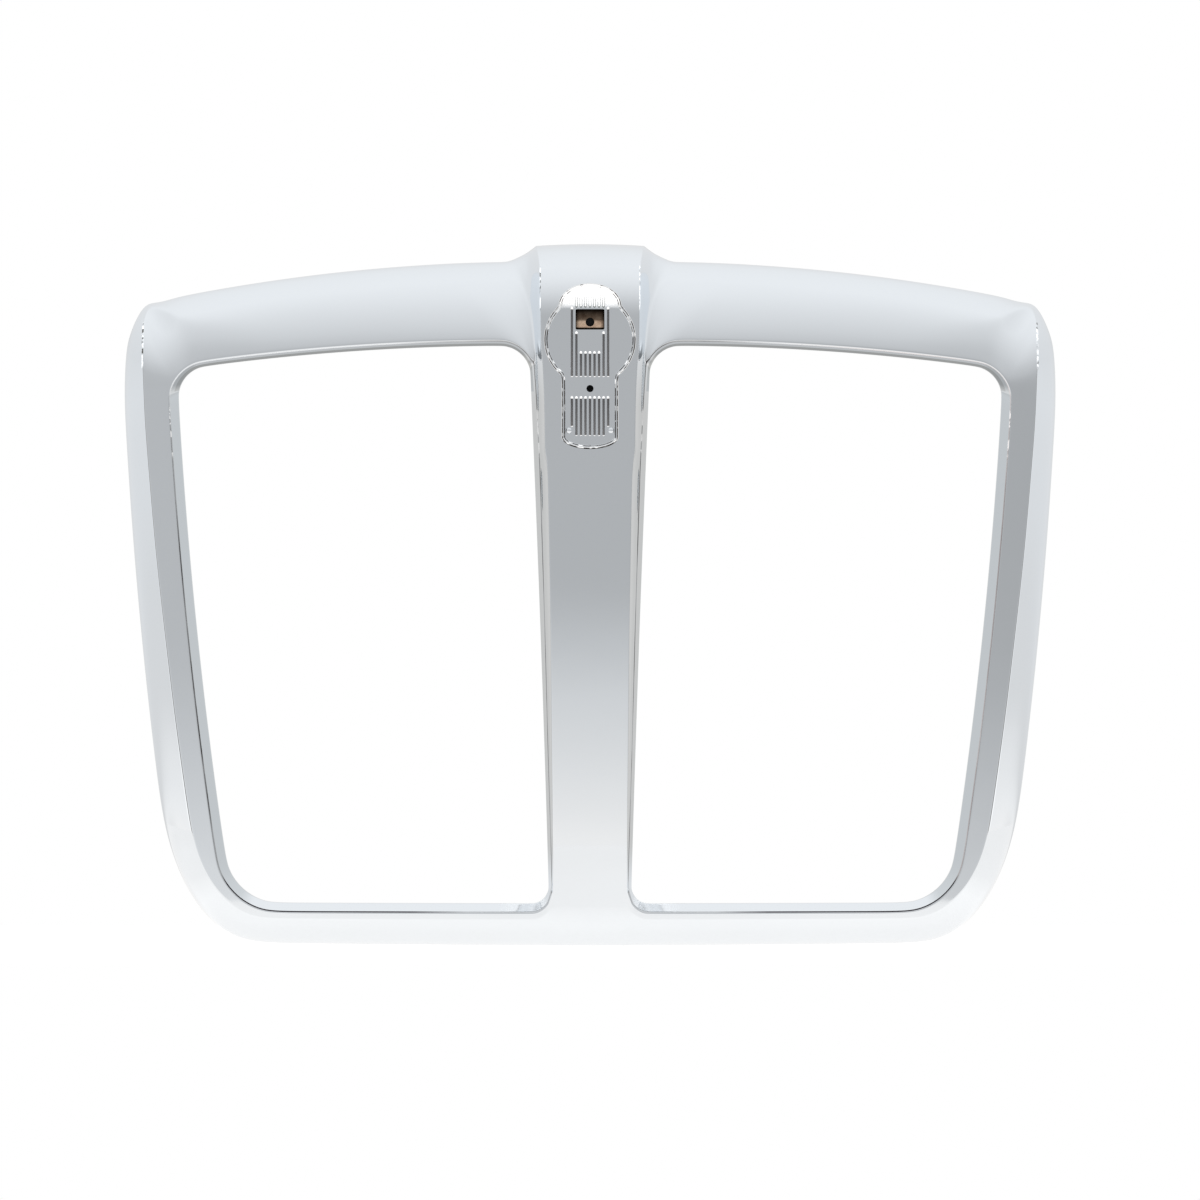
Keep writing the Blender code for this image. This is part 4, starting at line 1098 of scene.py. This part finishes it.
UNDER = (0.56, 0.56, 0.56)  # the dark end of the room, low down behind the object
FLOOR = (-1.1, 1.1, -0.55, 0.75)  # left, right, front and rear
FLOOR_GLOW = ((0.06, 0.95), (0.16, 0.84), (0.5, 0.80))  # distance from the object, and how much the floor glows


def grey(level):
    """The light that chrome shows as this level of 0 to 255 in the picture."""
    linear = ((level / 255 + 0.055) / 1.055) ** 2.4
    return linear / CHROME[1]


def shown(height, level):
    """The colour of the room at a height: a little warmer low down."""
    warm = 0.03 * share_of(height, -0.05, -0.20)
    return grey(level) * (1 + warm), grey(level), grey(level) * (1 - warm)


def round_share(degrees):
    """Where a direction at this many degrees from straight ahead comes on the ramps round the room."""
    return (1 - cos(radians(degrees))) / 2


def make_world():
    """A studio: pale above, below and at the sides, and a dim opening ahead of the object around the camera."""
    studio = bpy.data.worlds.new("studio")
    bpy.context.scene.world = studio
    studio.use_nodes = True
    wires = Wiring(studio.node_tree)
    x, y, z = wires.split("Generated")

    def rest(share):
        return wires.maths("SUBTRACT", 1.0, share)

    height = wires.scaled(z, -1.0, 1.0)
    ahead, beside = (
        wires.ramp(height, *[((at + 1) / 2, shown(at, level)) for at, level in levels]) for levels in (AHEAD, BESIDE)
    )
    flat = wires.maths("SQRT", wires.maths("ADD", wires.product(x, x), wires.product(y, y)))
    turn = wires.scaled(wires.maths("DIVIDE", y, wires.maths("MAXIMUM", flat, 0.001)), -1.0, 1.0)
    sideways, stands = (
        wires.ramp(turn, *[(round_share(degrees), value) for degrees, value in stops]) for stops in (SIDEWAYS, STANDS)
    )
    level = wires.product(wires.scaled(z, -0.30, -0.12), rest(wires.scaled(z, 0.03, 0.12)))
    tilt = wires.scaled(wires.product(x, level), -0.5, 0.5)
    tint = wires.ramp(tilt, (0.0, 1.09), (0.5, 0.99), (1.0, 0.86))
    sky = wires.blend(sideways, wires.blend(1.0, ahead, tint, "MULTIPLY"), beside)
    near = rest(wires.scaled(wires.maths("ABSOLUTE", z), 0.15, 0.22))
    sky = wires.blend(near, sky, wires.blend(1.0, sky, stands, "MULTIPLY"))
    sky = wires.blend(wires.product(wires.scaled(y, 0.15, 0.5), wires.scaled(z, -0.15, -0.35)), sky, UNDER)
    sky = wires.blend(wires.add("LightPath").outputs["Is Camera Ray"], sky, WHITE)
    wires.feed(studio.node_tree.nodes["Background"].inputs["Color"], sky)


def make_floor():
    """A pale acrylic table top, lit faintly from below, that ends not far from the object."""
    made, wires = material("floor", (0.10, 0.10, 0.10), 0.0, 0.9)
    wires.look(Base_Color=wires.ramp(wires.noise(3.0, 2.0), (0.3, 0.08), (0.7, 0.10)))
    x, y, _ = wires.split()
    beyond = wires.maths("SUBTRACT", wires.maths("ABSOLUTE", x), 0.45)
    far = wires.maths("MAXIMUM", wires.maths("ABSOLUTE", y), beyond)
    seen = wires.add("LightPath").outputs["Is Camera Ray"]
    # The floor glows more close to the object, which paints light over its shade there.
    glow = wires.maths("ADD", wires.ramp(far, *FLOOR_GLOW), seen)
    wires.look(Emission_Color=(1.03, 1.0, 0.97), Emission_Strength=glow)
    left, right, front, rear = FLOOR
    mesh = bpy.data.meshes.new("floor")
    mesh.from_pydata([(left, front, 0), (right, front, 0), (right, rear, 0), (left, rear, 0)], [], [(0, 1, 2, 3)])
    place("floor", mesh, made)


def make_lamp():
    """One large soft lamp over the object, which chrome doesn't show."""
    lamp = bpy.data.lights.new("top", "AREA")
    lamp.shape = "DISK"
    lamp.size = 4.0
    lamp.energy = 110.0
    ob = place("top", lamp)
    ob.location = (0.0, 0.2, 4.0)
    ob.rotation_euler = (-ob.location).to_track_quat("-Z", "Y").to_euler()
    ob.visible_glossy = False


def make_camera():
    data = bpy.data.cameras.new("camera")
    data.sensor_width = 36.0
    data.lens = 321.4
    data.clip_end = 100.0
    ob = place("camera", data)
    ob.location = (0.0112, FRONT_Y - 12.0, 0.3905)
    ob.rotation_euler = (radians(90), 0.0, 0.0)
    bpy.context.scene.camera = ob


def add_pieces():
    """The pieces that stand for CAD nodes or add to them."""
    chrome, _ = make_chrome("bright_plating")
    inside, _ = make_chrome("plated_inside", 0.22, 0.10, 0.00008)
    rib_shade, tip_highlight, groove_shade = make_rib_painted_looks()
    moulding = make_moulding(make_skin_with_painted_shade(), inside, make_crease_shade(), make_edge_shade())
    seat = make_seat(make_seat_chrome_with_highlight(), make_rim_reflection())
    ribs = place("badge_seat_ribs", pills(), rib_shade, tip_highlight, chrome, groove_shade)
    paint_ribs(ribs.data)
    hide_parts("front_shell")
    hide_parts("badge_seat")
    for side, x in (("left", -1), ("right", 1)):
        dome = make_dome(f"seat_screw_{side}_dome", x * SEAT_SCREWS[0], SEAT_SCREWS[1], chrome)
        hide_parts(f"seat_screw_{side}")
        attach(dome, "root")
    for piece in (moulding, seat, ribs):
        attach(piece, "root")
    return chrome


def dress_nodes(frame, chrome):
    """Gives the CAD nodes that are still shown a material by their slot."""
    looks = {
        "chrome": chrome,
        "zinc_steel": make_steel("zinc_plating", (0.42, 0.42, 0.40), (0.66, 0.66, 0.63), 0.34, 60.0)[0],
        "passivated_steel": make_steel("brown_plating", *BROWN)[0],
        "black_steel": make_paint("satin_black", (0.012, 0.012, 0.013)),
        "foam": make_foam("seal_foam"),
    }
    strap = make_strap_steel()
    slots = {part["node"]: part["material_slot"] for part in frame["record"]["subparts"]}
    for name, ob in frame["nodes"].items():
        if ob.hide_render:
            continue
        ob.data.materials.clear()
        ob.data.materials.append(strap if name == "badge_bracket" else looks[slots[name]])


def main():
    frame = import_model()
    make_camera()
    make_world()
    make_floor()
    make_lamp()
    bpy.context.scene.view_settings.view_transform = "Standard"
    dress_nodes(frame, add_pieces())


main()
